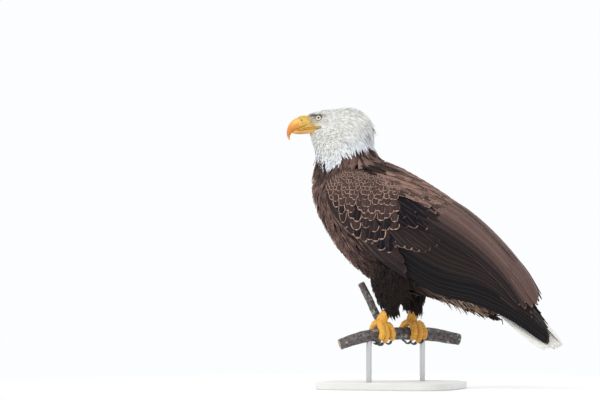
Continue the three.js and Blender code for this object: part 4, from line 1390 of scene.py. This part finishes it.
def greater_coverts(tract, side, rng):
    """The last row of coverts, over the roots of the secondaries."""
    count = len(GREATER_TIPS)
    s, h = GREATER_TIPS.T
    angles = np.radians(np.interp(s + h, [20, 160, 300], [-22, -14, 2]) + rng.normal(0, 2, count))
    shade = np.interp(h, [-50, 0, 60], [0.5, 0.25, 0.15]) * rng.uniform(0.6, 1.2, count)
    tips = GREATER_TIPS + rng.normal(0, 1.5, (count, 2))
    lengths, widths = rng.uniform(80, 95, count), rng.uniform(22, 27, count)
    fringe = rng.uniform(0.3, 0.9, count) * np.interp(h, [0, 12], [1, 0.2])
    colours = blended(BLUE_BLACK, COVERT_BROWN, shade)
    out_tip = -0.5 + 0.03 * np.arange(count)
    lay_coverts(tract, side, tips, angles, lengths, widths, colours, fringe, -4.0, out_tip)


def dark_coverts(tract, side, rng):
    """The big dark ones behind the shoulder."""
    count = len(DARK_TIPS)
    tips = DARK_TIPS + rng.normal(0, 1.5, (count, 2))
    angles = np.radians(rng.uniform(-18, 4, count))
    lengths, widths = rng.uniform(60, 72, count), rng.uniform(24, 29, count)
    fringe, out_tip = rng.choice([0.1, 0.2, 0.6], count), rng.uniform(0, 1.2, count)
    lay_coverts(tract, side, tips, angles, lengths, widths, BLUE_BLACK, fringe, -3.0, out_tip)


def small_coverts(tract, side, rng):
    """The rows of smaller ones, largest first."""
    for row in reversed(covert_rows()):
        x, z, angle, step, spacing, below = np.array(row).T
        s, h = axis_from_side(x, z)
        jitter = rng.normal(0, 0.15, (2, len(x))) * step
        s, h = s + jitter[0], h + jitter[1]
        angle = angle - math.pi / 2 + AXIS_SLOPE + rng.normal(0, 0.14, len(x))
        front = np.interp(h, DOME[:, 1], DOME[:, 0])
        keep = (h > lower_edge(s) + 1) & (h < upper_edge(s) + 2)
        keep &= (s > front + 1) & (s < np.interp(h, *REACH))
        if not keep.any():
            continue
        count = int(keep.sum())
        s, h, angle, step, spacing, below = (values[keep] for values in (s, h, angle, step, spacing, below))
        dark = np.clip((below - 20) / 150 + 0.2 * (h < -15) + rng.normal(0, 0.15, count), 0, 1)
        low_front = (h < -18) & (s < 90)
        blue = np.clip((below - 105) / 60 + 0.7 * low_front + rng.normal(0, 0.3, count), 0, 1)
        base = blended(blended(COVERT_BROWN, COVERT_DARK, dark), BLUE_BLACK, blue)
        fringe = np.clip(rng.normal(0.9, 0.15, count), 0.4, 1)
        fringe = fringe + np.interp(below, [0, 25, 70], [0.5, 0.35, 0.3])
        shadow = in_cape_shadow(on_wing(s, h, 0.0, side)[0])
        base, fringe = base * (1 - 0.8 * shadow)[:, None], fringe * (1 - shadow)
        lengths = 2.3 * step * rng.uniform(0.9, 1.15, len(x))[keep]
        widths = 1.3 * spacing * rng.uniform(0.85, 1.15, len(x))[keep]
        out_root, out_tip = -2.5 - 0.01 * below, 1.2 + 0.3 * rng.random(count)
        tips = np.column_stack([s, h])
        lay_coverts(tract, side, tips, angle, lengths, widths, base, fringe, out_root, out_tip)


def covert_piece(side, label):
    rng = np.random.default_rng(41 + side)
    tract = Tract()
    for layer in (long_coverts, greater_coverts, dark_coverts, small_coverts):
        layer(tract, side, rng)
    tract.piece(f"covert_coat_{label}", BROWN_FEATHER, "brown_plumage")


for side, label in SIDES:
    covert_piece(side, label)

# %% [markdown]
# ## Shoulder feathers
# The scapulars cover the gap between back and wing. They spring from the shoulder and lie over both, so
# they come last. Below the mantle their ragged lower edge leaves a dark shadow, which is painted in as
# darker colours and a row of dark feathers.

# %% Scapulars
SCAPULAR_DARK, SCAPULAR_BROWN = srgb(58, 45, 44), srgb(150, 118, 106)
SCAPULAR_EDGE = ([60, 110, 172, 300, 360], [72, 76, 94, 94, 82])  # places along, and the heights there
SCAPULAR_LAYERS = 11


def scapular_layer(tract, side, rng, layer):
    """One row of scapulars. The first lies lowest and each next one nearer the ridge."""
    s = np.arange(44 + 3 * layer, 366 - 14 * layer, 15.0) + rng.uniform(0, 15)
    count = len(s)
    s = s + rng.normal(0, 4, count)
    edge = ridge_angle(s, np.interp(s, *SCAPULAR_EDGE))
    tip_angle = edge * (1 - layer / 10.4) + rng.normal(0, 0.03, count)
    length = np.interp(s, [50, 150, 350], [42, 60, 80]) * rng.uniform(0.9, 1.1, count)
    drift = np.radians(np.interp(s, [50, 250, 370], [10, 0, -10]) + rng.normal(0, 4, count))
    back = length[:, None] * (1 - FIVE_KNOTS)
    spine_s = s[:, None] - back * np.cos(drift)[:, None]
    spine_angle = np.maximum(tip_angle, 0.02)[:, None] + back * np.sin(drift)[:, None] / 95
    out = (-3.5 + 0.32 * layer) * (1 - FIVE_KNOTS) + (0.8 + 0.34 * layer) * FIVE_KNOTS
    spines, normals = on_ridge(spine_s, spine_angle, np.broadcast_to(out, spine_s.shape), side)
    light = np.clip(rng.beta(0.9, 0.9, count), 0, 1)
    shadow = in_cape_shadow(spines[:, -2:].mean(axis=1))
    fringe = np.interp(layer, [0, 2, 5], [1.2, 0.9, 0.7]) * rng.uniform(0.3, 1.1, count) * (1 - shadow)
    colours = blended(SCAPULAR_DARK, SCAPULAR_BROWN, light) * (1 - 0.8 * shadow)[:, None]
    width = np.interp(s, [50, 150, 350], [8, 10.5, 15]) * rng.uniform(0.85, 1.15, count)
    places = wing_places(s, 110 - 60 * spine_angle[:, 0], side)
    tract.lay(SCALE, spines, normals, width * MM, colours, fringe, places)


def cape_shadow(tract, side, rng):
    """Painted shadow and partly dark feathers that fill the streak under the cape. They are found by looking
    at it from the side.
    """
    places, ways = [], []
    mirror = [1, -side, 1]
    for start in np.linspace(0.0, 0.55, 11):
        share = start + 0.45 * FIVE_KNOTS
        across, height, half = (np.interp(share, np.linspace(0, 1, 40), column) for column in CAPE_SHADOW.T)
        height = height + rng.uniform(-0.45, 0.45) * half
        for a, h in zip(across, height):
            origin = SIDE_ACROSS * a * MM - SIDE_AWAY + [0, 0, h * MM + PERCH_HEIGHT]
            place, way, _, _ = FORM_TREE.ray_cast(Vector(origin * mirror), Vector(SIDE_AWAY * mirror))
            places.append(place)
            ways.append(way)
    ways = unit(np.array(ways).reshape(-1, 5, 3).mean(axis=1))[:, None] * np.ones((1, 5, 1))
    spines = np.array(places).reshape(-1, 5, 3) + ways * np.linspace(1.5, 4.2, 5)[:, None] * MM
    count = len(spines)
    places = wing_places(np.linspace(0, 60, count), np.full(count, 60.0), side)
    tract.lay(SCALE, spines, ways, rng.uniform(9, 12, count) * MM, BLUE_BLACK, 0.1, places)


for side, label in SIDES:
    rng = np.random.default_rng(51 + side)
    tract = Tract()
    for layer in range(SCAPULAR_LAYERS):
        scapular_layer(tract, side, rng, layer)
    cape_shadow(tract, side, rng)
    tract.piece(f"scapular_coat_{label}", BROWN_FEATHER, "brown_plumage")

# %% [markdown]
# ## The tail
# The tail is white, a low roof of twelve feathers with the middle pair on top. Short soft coverts hide
# its roots above and below. Those below hang loose and ragged behind the legs.

# %% Tail feathers and coverts
TAIL_ROOF = np.array([  # along, height of the ridge, half width, and how far the sides drop
    [300, 50, 20, 24], [380, 47, 34, 38], [450, 40, 43, 44], [520, 31, 49, 36], [580, 24.5, 50, 25],
])
TAIL_ROOT, TAIL_TIPS = 310, [580, 579, 577, 574, 570, 565]
TAIL_WHITE, COVERT_CREAM = srgb(238, 236, 230), srgb(205, 195, 182)
UNDERTAIL_TAN, UNDERTAIL_PALE = srgb(142, 114, 92), srgb(226, 214, 198)
UPPER_COUNT, UNDERTAIL_COUNT = 90, 240


def on_tail(s, y, out):
    """Places and outward directions on the tail, from millimetres along, across and out."""
    ridge, wide, drop = (column_at(TAIL_ROOF, s, column) for column in (1, 2, 3))
    q = np.abs(y) / wide
    h = ridge - drop * (0.4 * q + 0.6 * q * q)
    slope = drop * (0.4 + 1.2 * q) / wide * np.sign(y)
    normals = unit(UPWARD + slope[..., None] * ACROSS)
    return from_axis(s * MM, h * MM, y * MM) + normals * (out * MM)[..., None], normals


rng = np.random.default_rng(61)
tail = Tract()
for number, tip in enumerate(TAIL_TIPS):
    for side, _ in SIDES:
        s = TAIL_ROOT + (tip - TAIL_ROOT) * SHARES[None]
        y = side * column_at(TAIL_ROOF, s, 2) * (number + 0.55) / len(TAIL_TIPS)
        spines, normals = on_tail(s, y, np.full_like(s, -1.0 - 0.9 * number - 0.3 * (side > 0)))
        colour = np.array(TAIL_WHITE) * rng.uniform(0.9, 1)
        places = wing_places(s[:, 0] - 200, y[:, 0], side)
        tail.lay(QUILL, spines, normals, [26 * MM], colour, 0, places, [-side])
tail.piece("tail_feathers", WHITE_FEATHER, "white_plumage", "tail")

count = UPPER_COUNT
s = rng.uniform(300, 372, count)
y = rng.uniform(-0.9, 0.9, count) * column_at(TAIL_ROOF, s, 2)
out = np.linspace(-2.0, 2.5, 3) * rng.uniform(0.5, 1.2, (count, 1))
spines, normals = on_tail(s[:, None] + 62 * THREE_KNOTS, y[:, None] * np.ones(3), out)
widths = rng.uniform(14, 18, count) * MM
colours = blended(COVERT_CREAM, TAIL_WHITE, rng.random(count))
upper_coverts = Tract()
upper_coverts.lay(PLUME, spines, normals, widths, colours, 0, wing_places(s - 240, y, -1))
upper_coverts.piece("upper_tail_coverts", WHITE_FEATHER, "white_plumage")

count = UNDERTAIL_COUNT
s, y = rng.uniform(262, 350, count), rng.uniform(-34, 34, count)
h = np.interp(s, [262, 350], [-52, -16]) + 10 * (np.abs(y) / 34) ** 2 + rng.uniform(-4, 8, count)
length = rng.uniform(44, 80, count)[:, None]
angle = np.radians(rng.normal(-8, 9, count) + np.interp(s, [262, 350], [4, 12]))[:, None]
along = s[:, None] + length * np.cos(angle) * THREE_KNOTS
height = h[:, None] + length * np.sin(angle) * THREE_KNOTS - 5 * THREE_KNOTS**2
spines = from_axis(along * MM, height * MM, y[:, None] * MM * np.ones((1, 3)))
normals = unit(-UPWARD + (y / 60)[:, None] * ACROSS)[:, None] * np.ones((1, 3, 1))
widths = rng.uniform(8, 13, count) * MM
colours = blended(UNDERTAIL_TAN, UNDERTAIL_PALE, rng.beta(1, 1.3, count))
undertail = Tract()
undertail.lay(HACKLE, spines, normals, widths, colours, 0.4, wing_places(s, y, 1))
undertail.piece("undertail_coverts", BROWN_FEATHER, "brown_plumage")

# %% [markdown]
# ## The bill
# An eagle's bill is horn over bone. The upper half is high and hooked, the lower one a shallow trough that
# closes inside it. Each is a loft: a ring is extruded along the bill's middle line, fitted to its section
# at every step and gathered to a point at the tip. A soft yellow cere covers the root, with a nostril.


# %% Lofts
def loft(name, rings, closed=True):
    """A skin over rings of points, grown ring by ring from a circle, with closed or open ends."""
    work = bmesh.new()
    ring = bmesh.ops.create_circle(work, segments=len(rings[0]), radius=1)["verts"]
    first, edges = ring, work.edges[:]
    for vert, place in zip(ring, rings[0]):
        vert.co = place
    for places in rings[1:]:
        grown = bmesh.ops.extrude_edge_only(work, edges=edges)["geom"]
        fresh = {item for item in grown if isinstance(item, bmesh.types.BMVert)}
        edges = [item for item in grown if isinstance(item, bmesh.types.BMEdge)]
        edges = [edge for edge in edges if fresh.issuperset(edge.verts)]
        ring = [next(e.other_vert(v) for e in v.link_edges if e.other_vert(v) in fresh) for v in ring]
        for vert, place in zip(ring, places):
            vert.co = place
    if closed:
        for loop in (first, ring):
            bmesh.ops.contextual_create(work, geom=loop)
    bmesh.ops.recalc_face_normals(work, faces=work.faces)
    return piece_from(name, work, smooth=True)


def sphere(name, segments, rings, place_vert):
    """A unit sphere whose points are each moved by a function."""
    work = bmesh.new()
    bmesh.ops.create_uvsphere(work, u_segments=segments, v_segments=rings, radius=1)
    for vert in work.verts:
        vert.co = place_vert(vert.co)
    bmesh.ops.recalc_face_normals(work, faces=work.faces)
    return piece_from(name, work, smooth=True)


print("lofts and spheres are ready")

# %% [markdown]
# ## Horn, cere and lips
# A bill's section changes from a high arch at the cere to a fine point. Its stations are rows of x,
# height, half height and half width on the head. Each lip is a thin roll, with a dark roll between them
# that paints the shade in the gap of the mouth.

# %% Bill, cere and lips
UPPER_BILL = [
    (-172, 455, 12.4, 14.0), (-181, 455.3, 12.8, 13.6), (-195, 454.5, 13.8, 12.9), (-208, 450.7, 13.1, 11),
    (-218.5, 443.5, 9.4, 8.4), (-224.2, 433.5, 5.8, 5.4), (-225.6, 424.5, 3, 3), (-223.6, 417.6, 1.0, 1.1),
]
LOWER_BILL = [
    (-166, 437.4, 4.6, 20.4), (-175, 436.9, 5.2, 17.0), (-185, 436.4, 5.6, 13.2), (-197, 435.2, 5.5, 10),
    (-209, 434.4, 4.4, 7.4), (-216.5, 434.8, 3.0, 4.8), (-220.5, 435.6, 1.4, 2.4),
]
CERE = [
    (-170, 455.6, 12.2, 13.4), (-178, 455.7, 13.0, 14.0), (-190, 455.9, 14.1, 14.3),
    (-197, 455.3, 14.1, 13.7), (-201.5, 454.4, 13.7, 12.9), (-203.2, 454.1, 12.6, 11.8),
]
MOUTH = [  # x, side and height of the line between the lips
    (-207, 9.0, 438.8), (-198, 12.4, 441.2), (-188, 15.4, 443.6), (-178, 18.9, 444.8), (-167, 22.9, 445.5),
    (-157, 26.0, 445.6),
]
RING_TURNS = np.linspace(0, 2 * math.pi, 40, endpoint=False)
LIP_TURNS = np.linspace(0, 2 * math.pi, 14, endpoint=False)
NOSTRIL_TURN = 0.62


def bill_rings(stations, count, section):
    """Rings square to the middle line. section gives (side, up) for an angle from the top and a share."""
    table = spline(stations, count)
    ways = unit(np.gradient(table[:, :2], axis=0))
    rings = []
    for (x, z, tall, wide), (dx, dz), share in zip(table, ways, np.linspace(0, 1, count)):
        side, up = section(RING_TURNS, share)
        rings.append(in_head(np.column_stack([x + dz * up * tall, side * wide, z - dx * up * tall])))
    return rings


def upper_section(turn, share):
    up, side = np.cos(turn), np.sin(turn)
    hollow = 0.10 * np.exp(-(((up + 0.35) / 0.22) ** 2)) * (1 - share)  # over the cutting edge
    flat = np.where(up < -0.8, -0.8 + (up + 0.8) * 0.5, up)
    return side * (1 - 0.22 * up - hollow), flat / np.abs(flat).max()


def lower_section(turn, share):
    up, side = np.cos(turn), np.sin(turn)
    return np.sign(side) * np.abs(side) ** 0.8, np.where(up > 0, 1.45 * np.minimum(up, 0.85) / 0.85, up)


def cere_section(turn, share):
    up, side = np.cos(turn), np.sin(turn)
    turned = np.minimum(np.abs(turn - NOSTRIL_TURN), np.abs(turn - 2 * math.pi + NOSTRIL_TURN))
    dent = 1 - 0.16 * math.exp(-(((share - 0.60) / 0.13) ** 2)) * np.exp(-((turned / 0.10) ** 2))
    return side * (1 - 0.2 * up) * dent, up * dent


def horn_finish(name, upper, lower, from_height, to_height):
    """Waxy horn with a streaky grain and lighter patches of painted highlight. It runs from the lower colour
    to the upper one between two heights.
    """
    horn = Finish(name)
    grain, fine_grain = horn.noise(55.0, 4.0), horn.noise(420.0, 2.0)
    height = horn.add("ShaderNodeSeparateXYZ", out=2, i0=horn.where())
    colour = horn.mix(horn.ramp(height, from_height, to_height, 1.0, 0.0), upper, lower)
    colour = horn.mix(horn.ramp(height, 0.538, 0.546, 0.7, 0.0), colour, srgb(216, 168, 70))  # the hook's tip
    # lighter patches by noise: painted highlight
    colour = horn.mix(horn.ramp(grain, 0.45, 0.8, 0.0, 0.5), colour, srgb(226, 178, 92))
    colour = horn.mix(horn.ramp(fine_grain, 0.62, 0.8, 0.0, 0.35), colour, srgb(166, 98, 36))
    horn.bump(fine_grain, 0.0002, 0.3)
    rough = horn.ramp(grain, 0.2, 0.8, 0.3, 0.48)
    return horn.set(Base_Color=colour, Roughness=rough, Coat_Weight=0.25, Coat_Roughness=0.25)


def plain_finish(name, scale, first, second, rough):
    """Two colours mixed by noise."""
    made = Finish(name)
    return made.set(Base_Color=made.mix(made.noise(scale), first, second), Roughness=rough)


UPPER_HORN = horn_finish("bill_horn", srgb(220, 164, 54), srgb(202, 112, 34), 0.545, 0.59)
# the lower bill's lower colour, below its height range, is painted shade on its underside
LOWER_HORN = horn_finish("lower_bill_horn", srgb(212, 158, 60), srgb(178, 108, 42), 0.5475, 0.5525)
# painted shade: the dark roll between the lips stands for the shade in the gap of the mouth
MOUTH_SHADE = plain_finish("mouth_shade", 500.0, srgb(86, 54, 30), srgb(120, 78, 40), 0.7)

wax = Finish("cere_skin")
wax_colour = wax.mix(wax.ramp(wax.noise(90.0, 3.0), 0.35, 0.7), srgb(212, 174, 76), srgb(178, 134, 54))
wax.bump(wax.noise(700.0, 2.0), 0.0003, 0.5)
CERE_SKIN = wax.set(Base_Color=wax_colour, Roughness=0.5, Subsurface_Weight=0.1,
                    Subsurface_Radius=(0.004, 0.002, 0.001))

for name, stations, count, section, finish, slot, *nodes in (
    ("bill_upper_horn", UPPER_BILL, 40, upper_section, UPPER_HORN, "bill_horn", "bill_upper"),
    ("bill_lower_horn", LOWER_BILL, 20, lower_section, LOWER_HORN, "bill_horn", "bill_lower"),
    ("cere_wax", CERE, 34, cere_section, CERE_SKIN, "cere_skin"),
):
    enter(loft(name, bill_rings(stations, count, section)), finish, slot, *nodes)

LIP_STEPS = 24
LIP_SIZES = ([0, 0.15, 0.45, 0.7, 0.9, 1], [0.4, 0.75, 1.0, 0.9, 0.55, 0.2])  # along the mouth
LIP_PARTS = (  # up, half height, out, thickness
    ("upper", 1.45, 1.6, -0.3, 1.2, CERE_SKIN),
    ("lower", -1.2, 1.1, -0.4, 1.1, CERE_SKIN),
    # the seam is painted shade in the gap between the lips
    ("seam", -0.15, 0.5, 0.15, 0.5, MOUTH_SHADE),
)
share = np.linspace(0, 1, LIP_STEPS)
joined = smoothstep(0.25, 0.5, share)[:, None]  # forward of this the lips lie on the cere
for side, label in SIDES:
    line = spline(MOUTH, LIP_STEPS) * [1, side, 1]
    own_line = in_head(line)
    on_face, outward, _ = on_form(own_line)
    middle = own_line * (1 - joined) + on_face * joined
    outward = unit(unit(in_head(line + [0, side, 0]) - own_line) * (1 - joined) + outward * joined)
    upward = unit(np.array([0, 0, 1.0]) - outward * outward[:, 2:])
    for part, offset, tall, proud, thick, finish in LIP_PARTS:
        rings = []
        for m, out, up, size in zip(middle, outward, upward, np.interp(share, *LIP_SIZES)):
            outs = (proud + thick * size * np.cos(LIP_TURNS)) * MM
            ups = (offset + tall * np.sin(LIP_TURNS)) * size * MM
            rings.append(m + out * outs[:, None] + up * ups[:, None])
        enter(loft(f"lip_{part}_{label}", rings), finish, "cere_skin")

# %% [markdown]
# ## Nostrils
# Each nostril is a slanting slit in the cere. It is a flat dark lens set a hair into the surface, which is
# painted shade for the inside of the hole, with a soft rim of cere round it, because a real hole that small
# would be lost in the mesh.

# %% Nostrils
NOSTRIL, NOSTRIL_SLANT = (-197.2, 459.4), math.radians(-42)
CERE_MIDDLE, CERE_TALL, CERE_WIDE = 455.3, 14.1, 13.7  # the cere's section at the nostril
# painted shade: the dark lens stands for the shade inside the nostril
NOSTRIL_SHADE = plain_finish("nostril_shade", 900.0, (0.02, 0.012, 0.008), (0.06, 0.035, 0.02), 0.8)
NOSTRIL_PARTS = (  # half length, half width, and how far sunk
    ("nostril", 3.0, 1.25, 0.15, NOSTRIL_SHADE),
    ("nostril_rim", 4.05, 2.109375, 0.42, CERE_SKIN),
)
for side, label in SIDES:
    for part, long, wide, sunk, finish in NOSTRIL_PARTS:

        def on_cere(co):
            x, z = co.x * long, co.y * wide
            x, z = (NOSTRIL[0] + x * math.cos(NOSTRIL_SLANT) - z * math.sin(NOSTRIL_SLANT),
                    NOSTRIL[1] + x * math.sin(NOSTRIL_SLANT) + z * math.cos(NOSTRIL_SLANT))
            up = (z - CERE_MIDDLE) / CERE_TALL
            y = CERE_WIDE * math.sqrt(max(0, 1 - up * up)) * (1 - 0.2 * up) - sunk + 0.5 * co.z
            return in_head([x, side * y, z])

        enter(sphere(f"{part}_{label}", 24, 12, on_cere), finish, "cere_skin")

# %% [markdown]
# ## The eyes
# An eagle's eye is large, pale and fierce, because a ridge of brow hangs over it. The ball is a sphere
# with a clear bulge, its pole pointing out of the head, so the iris is drawn by the angle from that pole.
# Round it goes a lid, a ring that follows the ball and dips at both corners.

# %% Eyeballs and lids
GAZE_FORWARD = math.radians(13)
IRIS_ANGLE, PUPIL_ANGLE, BULGE_ANGLE = math.radians(37), math.radians(16), math.radians(24)
BALL_RADIUS, BULGE = 9.6, 0.7
LID_WIDE, LID_TALL = math.radians(31), math.radians(29)
LID_PROFILE = [  # distance from the eye's middle, and how much wider than the opening
    (9.3, 0.02), (9.9, -0.01), (10.25, 0.01), (10.35, 0.07), (10.25, 0.16), (9.8, 0.26), (8.6, 0.36),
]

eye = Finish("eye_glass")
gaze = eye.painted()
from_pole = eye.scaled(gaze.node.outputs["Alpha"], math.pi)
iris = eye.mix(eye.ramp(eye.noise(9.0, 2.0, gaze), 0.35, 0.65), srgb(247, 244, 226), srgb(234, 226, 192))
iris = eye.mix(eye.ramp(from_pole, IRIS_ANGLE * 0.8, IRIS_ANGLE, 0.0, 0.75), iris, srgb(120, 104, 60))
iris = eye.mix(eye.ramp(from_pole, PUPIL_ANGLE, PUPIL_ANGLE + 0.03, 1.0, 0.0), iris, (0.003, 0.003, 0.004))
eye_colour = eye.mix(eye.ramp(from_pole, IRIS_ANGLE, IRIS_ANGLE + 0.04), iris, srgb(40, 32, 28))
eye.set(Base_Color=eye_colour, Roughness=0.08, Coat_Weight=1.0, Coat_Roughness=0.02)

lid = Finish("lid_skin")
grain = lid.noise(600.0, 3.0)
lid.bump(grain, 0.0003, 0.6)
height = lid.add("ShaderNodeSeparateXYZ", out=2, i0=lid.where())
# the upper lid is darker than the lower one: painted shade under the brow
lid_colour = lid.mix(lid.ramp(height, EYE[2] - 3 * MM, EYE[2] + 3 * MM), srgb(156, 144, 94), srgb(62, 56, 44))
lid_colour = lid.mix(lid.ramp(grain, 0.3, 0.7, 0.0, 0.4), lid_colour, srgb(70, 62, 44))
lid.set(Base_Color=lid_colour, Roughness=0.6)

for side, label in SIDES:
    centre = (EYE - [0, 0, PERCH_HEIGHT]) / MM * [1, -side, 1]
    axis = Vector((-math.sin(GAZE_FORWARD), side * math.cos(GAZE_FORWARD), 0.06)).normalized()
    across = Vector((0, 0, 1)).cross(axis).normalized()
    upright = axis.cross(across)
    gazes = []

    def on_ball(co):
        angle = math.acos(max(-1, min(1, co.z)))
        flat = math.hypot(co.x, co.y) or 1.0
        gazes.append((0.5 + 0.5 * co.x / flat, 0.5 + 0.5 * co.y / flat, 0.1 * angle, angle / math.pi))
        reach = BALL_RADIUS + BULGE * math.exp(-((angle / BULGE_ANGLE) ** 2))
        return in_head(centre + np.array(across * co.x + upright * co.y + axis * co.z) * reach)

    ball = sphere(f"eyeball_{label}", 64, 64, on_ball)
    gazes = np.array(gazes)
    paint(ball.data, gazes[:, :3], gazes[:, 3])
    enter(ball, eye.material, "eye_glass", f"eye_{label}")

    rings = []
    for reach, wider in LID_PROFILE:
        ring = []
        for turn in RING_TURNS:
            corner = abs(math.cos(turn)) ** 3 * 0.07
            opening = 1 / math.hypot(math.cos(turn) / (LID_WIDE + corner), math.sin(turn) / LID_TALL)
            if math.sin(turn) > 0:
                opening *= 0.86  # the brow presses on the upper lid
            angle = opening + wider
            sideways = across * math.cos(turn) + upright * math.sin(turn)
            way = axis * math.cos(angle) + sideways * math.sin(angle)
            ring.append(centre + np.array(way) * reach)
        rings.append(in_head(ring))
    enter(loft(f"eyelid_{label}", rings, closed=False), lid.material, "cere_skin")

# %% [markdown]
# ## Talons
# Each toe ends in a long curved talon, which is sharp, black and glossy. The solids have the right curve
# already, so each talon is a copy of its solid, rounded by subdivision.

# %% Talons
talon = Finish("talon_horn")
wear = talon.noise(160.0, 3.0)
talon_colour = talon.mix(talon.ramp(wear, 0.35, 0.75), (0.012, 0.011, 0.012), (0.06, 0.052, 0.05))
talon.bump(talon.noise(900.0, 2.0), 0.0002, 0.3)
talon.set(Base_Color=talon_colour, Roughness=talon.ramp(wear, 0.2, 0.8, 0.16, 0.4), Coat_Weight=0.4,
          Coat_Roughness=0.15)
for side in LABELS:
    for toe in TOE_NAMES:
        node = f"talon_{side}_{toe}"
        claw = merged_copy(f"claw_{side}_{toe}", [node])
        rounder = claw.modifiers.new("rounder", "SUBSURF")
        rounder.levels = rounder.render_levels = 2
        smooth_shaded(applied(claw).data)
        enter(claw, talon.material, "talon_horn", node)

# %% [markdown]
# ## The perch
# The branch is a cut length of dead wood. A fine copy of the solid is pushed in and out along its normals
# by several sizes of noise: long ridges, knots and cracks. Grey bark, pale lichen and the bare wood of the
# cut ends are all one finish, told apart by the same noise and by the painted ends.

# %% Bark
BARK_CELL = 1.7 * MM
CUT_DEPTH = 0.006
bark = Finish("bark")
stretched = bark.add("ShaderNodeMapping", Vector=bark.where(), Scale=(1.0, 0.22, 1.0))
ridges = bark.noise(230.0, 5.0, stretched, 0.65)
# darker in the furrows that the bump draws: partly the bark's own colour, partly painted shade
wood = bark.mix(bark.ramp(ridges, 0.35, 0.62), srgb(50, 45, 45), srgb(114, 107, 106))
for scale, detail, rough, low, high, most, shade in (
    (28.0, 3.0, 0.5, 0.45, 0.65, 0.55, srgb(92, 82, 80)),
    (75.0, 4.0, 0.6, 0.56, 0.64, 0.8, srgb(168, 170, 162)),
    (130.0, 3.0, 0.5, 0.63, 0.68, 0.7, srgb(40, 37, 38)),
):
    blotches = bark.noise(scale, detail, rough=rough)
    wood = bark.mix(bark.ramp(blotches, low, high, 0.0, most), wood, shade)
cut = bark.mix(bark.ramp(ridges, 0.3, 0.7), srgb(196, 170, 130), srgb(168, 140, 102))
bark.bump(ridges, 0.0012, 0.6)
bark.set(Base_Color=bark.mix(bark.painted().node.outputs["Alpha"], wood, cut), Roughness=0.85)


def bark_piece(name, node, ends, height):
    """A fused and roughened copy of a piece of branch. Its cut ends are given as places and directions."""
    piece = fuse(merged_copy(name, [node]), BARK_CELL)
    points, normals, _ = mesh_arrays(piece.data)
    cut_share = np.zeros(len(points))
    for place, way in ends:
        flat = smoothstep(0.7, 0.9, normals @ way)
        reach = (points - place) @ way
        cut_share = np.maximum(cut_share, flat * (reach > reach.max() - CUT_DEPTH))
    knots = 0.5 * np.maximum(0, drifting(points, 40, 5) - 0.25)
    moved = 0.55 * drifting(points, (260, 45, 260)) + 0.25 * drifting(points, (600, 170, 600)) + knots
    move_points(piece.data, points + normals * (moved * (1 - 0.8 * cut_share) * height)[:, None])
    paint(piece.data, np.zeros((len(points), 3)), cut_share)
    smooth_shaded(piece.data)
    enter(piece, bark.material, "bark", node)


ends = ((0, 3), (-1, -4))  # the rows at each end, and rows further in
ends = [(PERCH_MIDDLE[end], unit(PERCH_MIDDLE[end] - PERCH_MIDDLE[inner])) for end, inner in ends]
bark_piece("bark", "perch", ends, 1.3 * MM)
low, high = (corner[2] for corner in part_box("perch_shoot"))
shoot = np.array([v.co[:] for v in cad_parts["perch_shoot"].data.vertices])
top = shoot[shoot[:, 2] > high - 2 * CUT_DEPTH].mean(axis=0)
root = shoot[shoot[:, 2] < low + 2 * CUT_DEPTH].mean(axis=0)
bark_piece("shoot_bark", "perch_shoot", [(top, unit(top - root))], 0.9 * MM)

# %% [markdown]
# ## The display stand
# A museum model stands on a plain board with two short steel rods let into the branch. These solids have
# the right shape already, so they only get their finishes: matt grey paint with a little texture, and
# brushed steel.

# %% Stand finishes
paint_coat = Finish("base_paint")
cloudy = paint_coat.noise(14.0, 3.0)
paint_coat.bump(paint_coat.noise(900.0, 2.0), 0.00015, 0.4)
paint_coat.set(Base_Color=paint_coat.mix(cloudy, srgb(214, 213, 210), srgb(222, 221, 218)),
               Roughness=paint_coat.ramp(cloudy, 0.2, 0.8, 0.42, 0.55))
steel = Finish("rod_steel")
drawn_out = steel.add("ShaderNodeMapping", Vector=steel.where(), Scale=(1, 1, 0.03))
brushed = steel.noise(420.0, 3.0, drawn_out)
steel.bump(brushed, 0.0001, 0.3)
steel.set(Base_Color=steel.mix(brushed, (0.5, 0.5, 0.5), (0.66, 0.66, 0.65)), Metallic=1.0,
          Roughness=steel.ramp(brushed, 0.2, 0.8, 0.25, 0.42))
for node, finish in (("stand_base", paint_coat), ("stand_rod_near", steel), ("stand_rod_far", steel)):
    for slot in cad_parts[node].material_slots:
        slot.material = finish.material
    print(f"{node}: {finish.material.name}")

# %% [markdown]
# ## Size
# The looks must not change the size, so the box of the dressed model is printed.

low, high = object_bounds()
print("dressed:", [round(v, 3) for v in (*low, *high)])
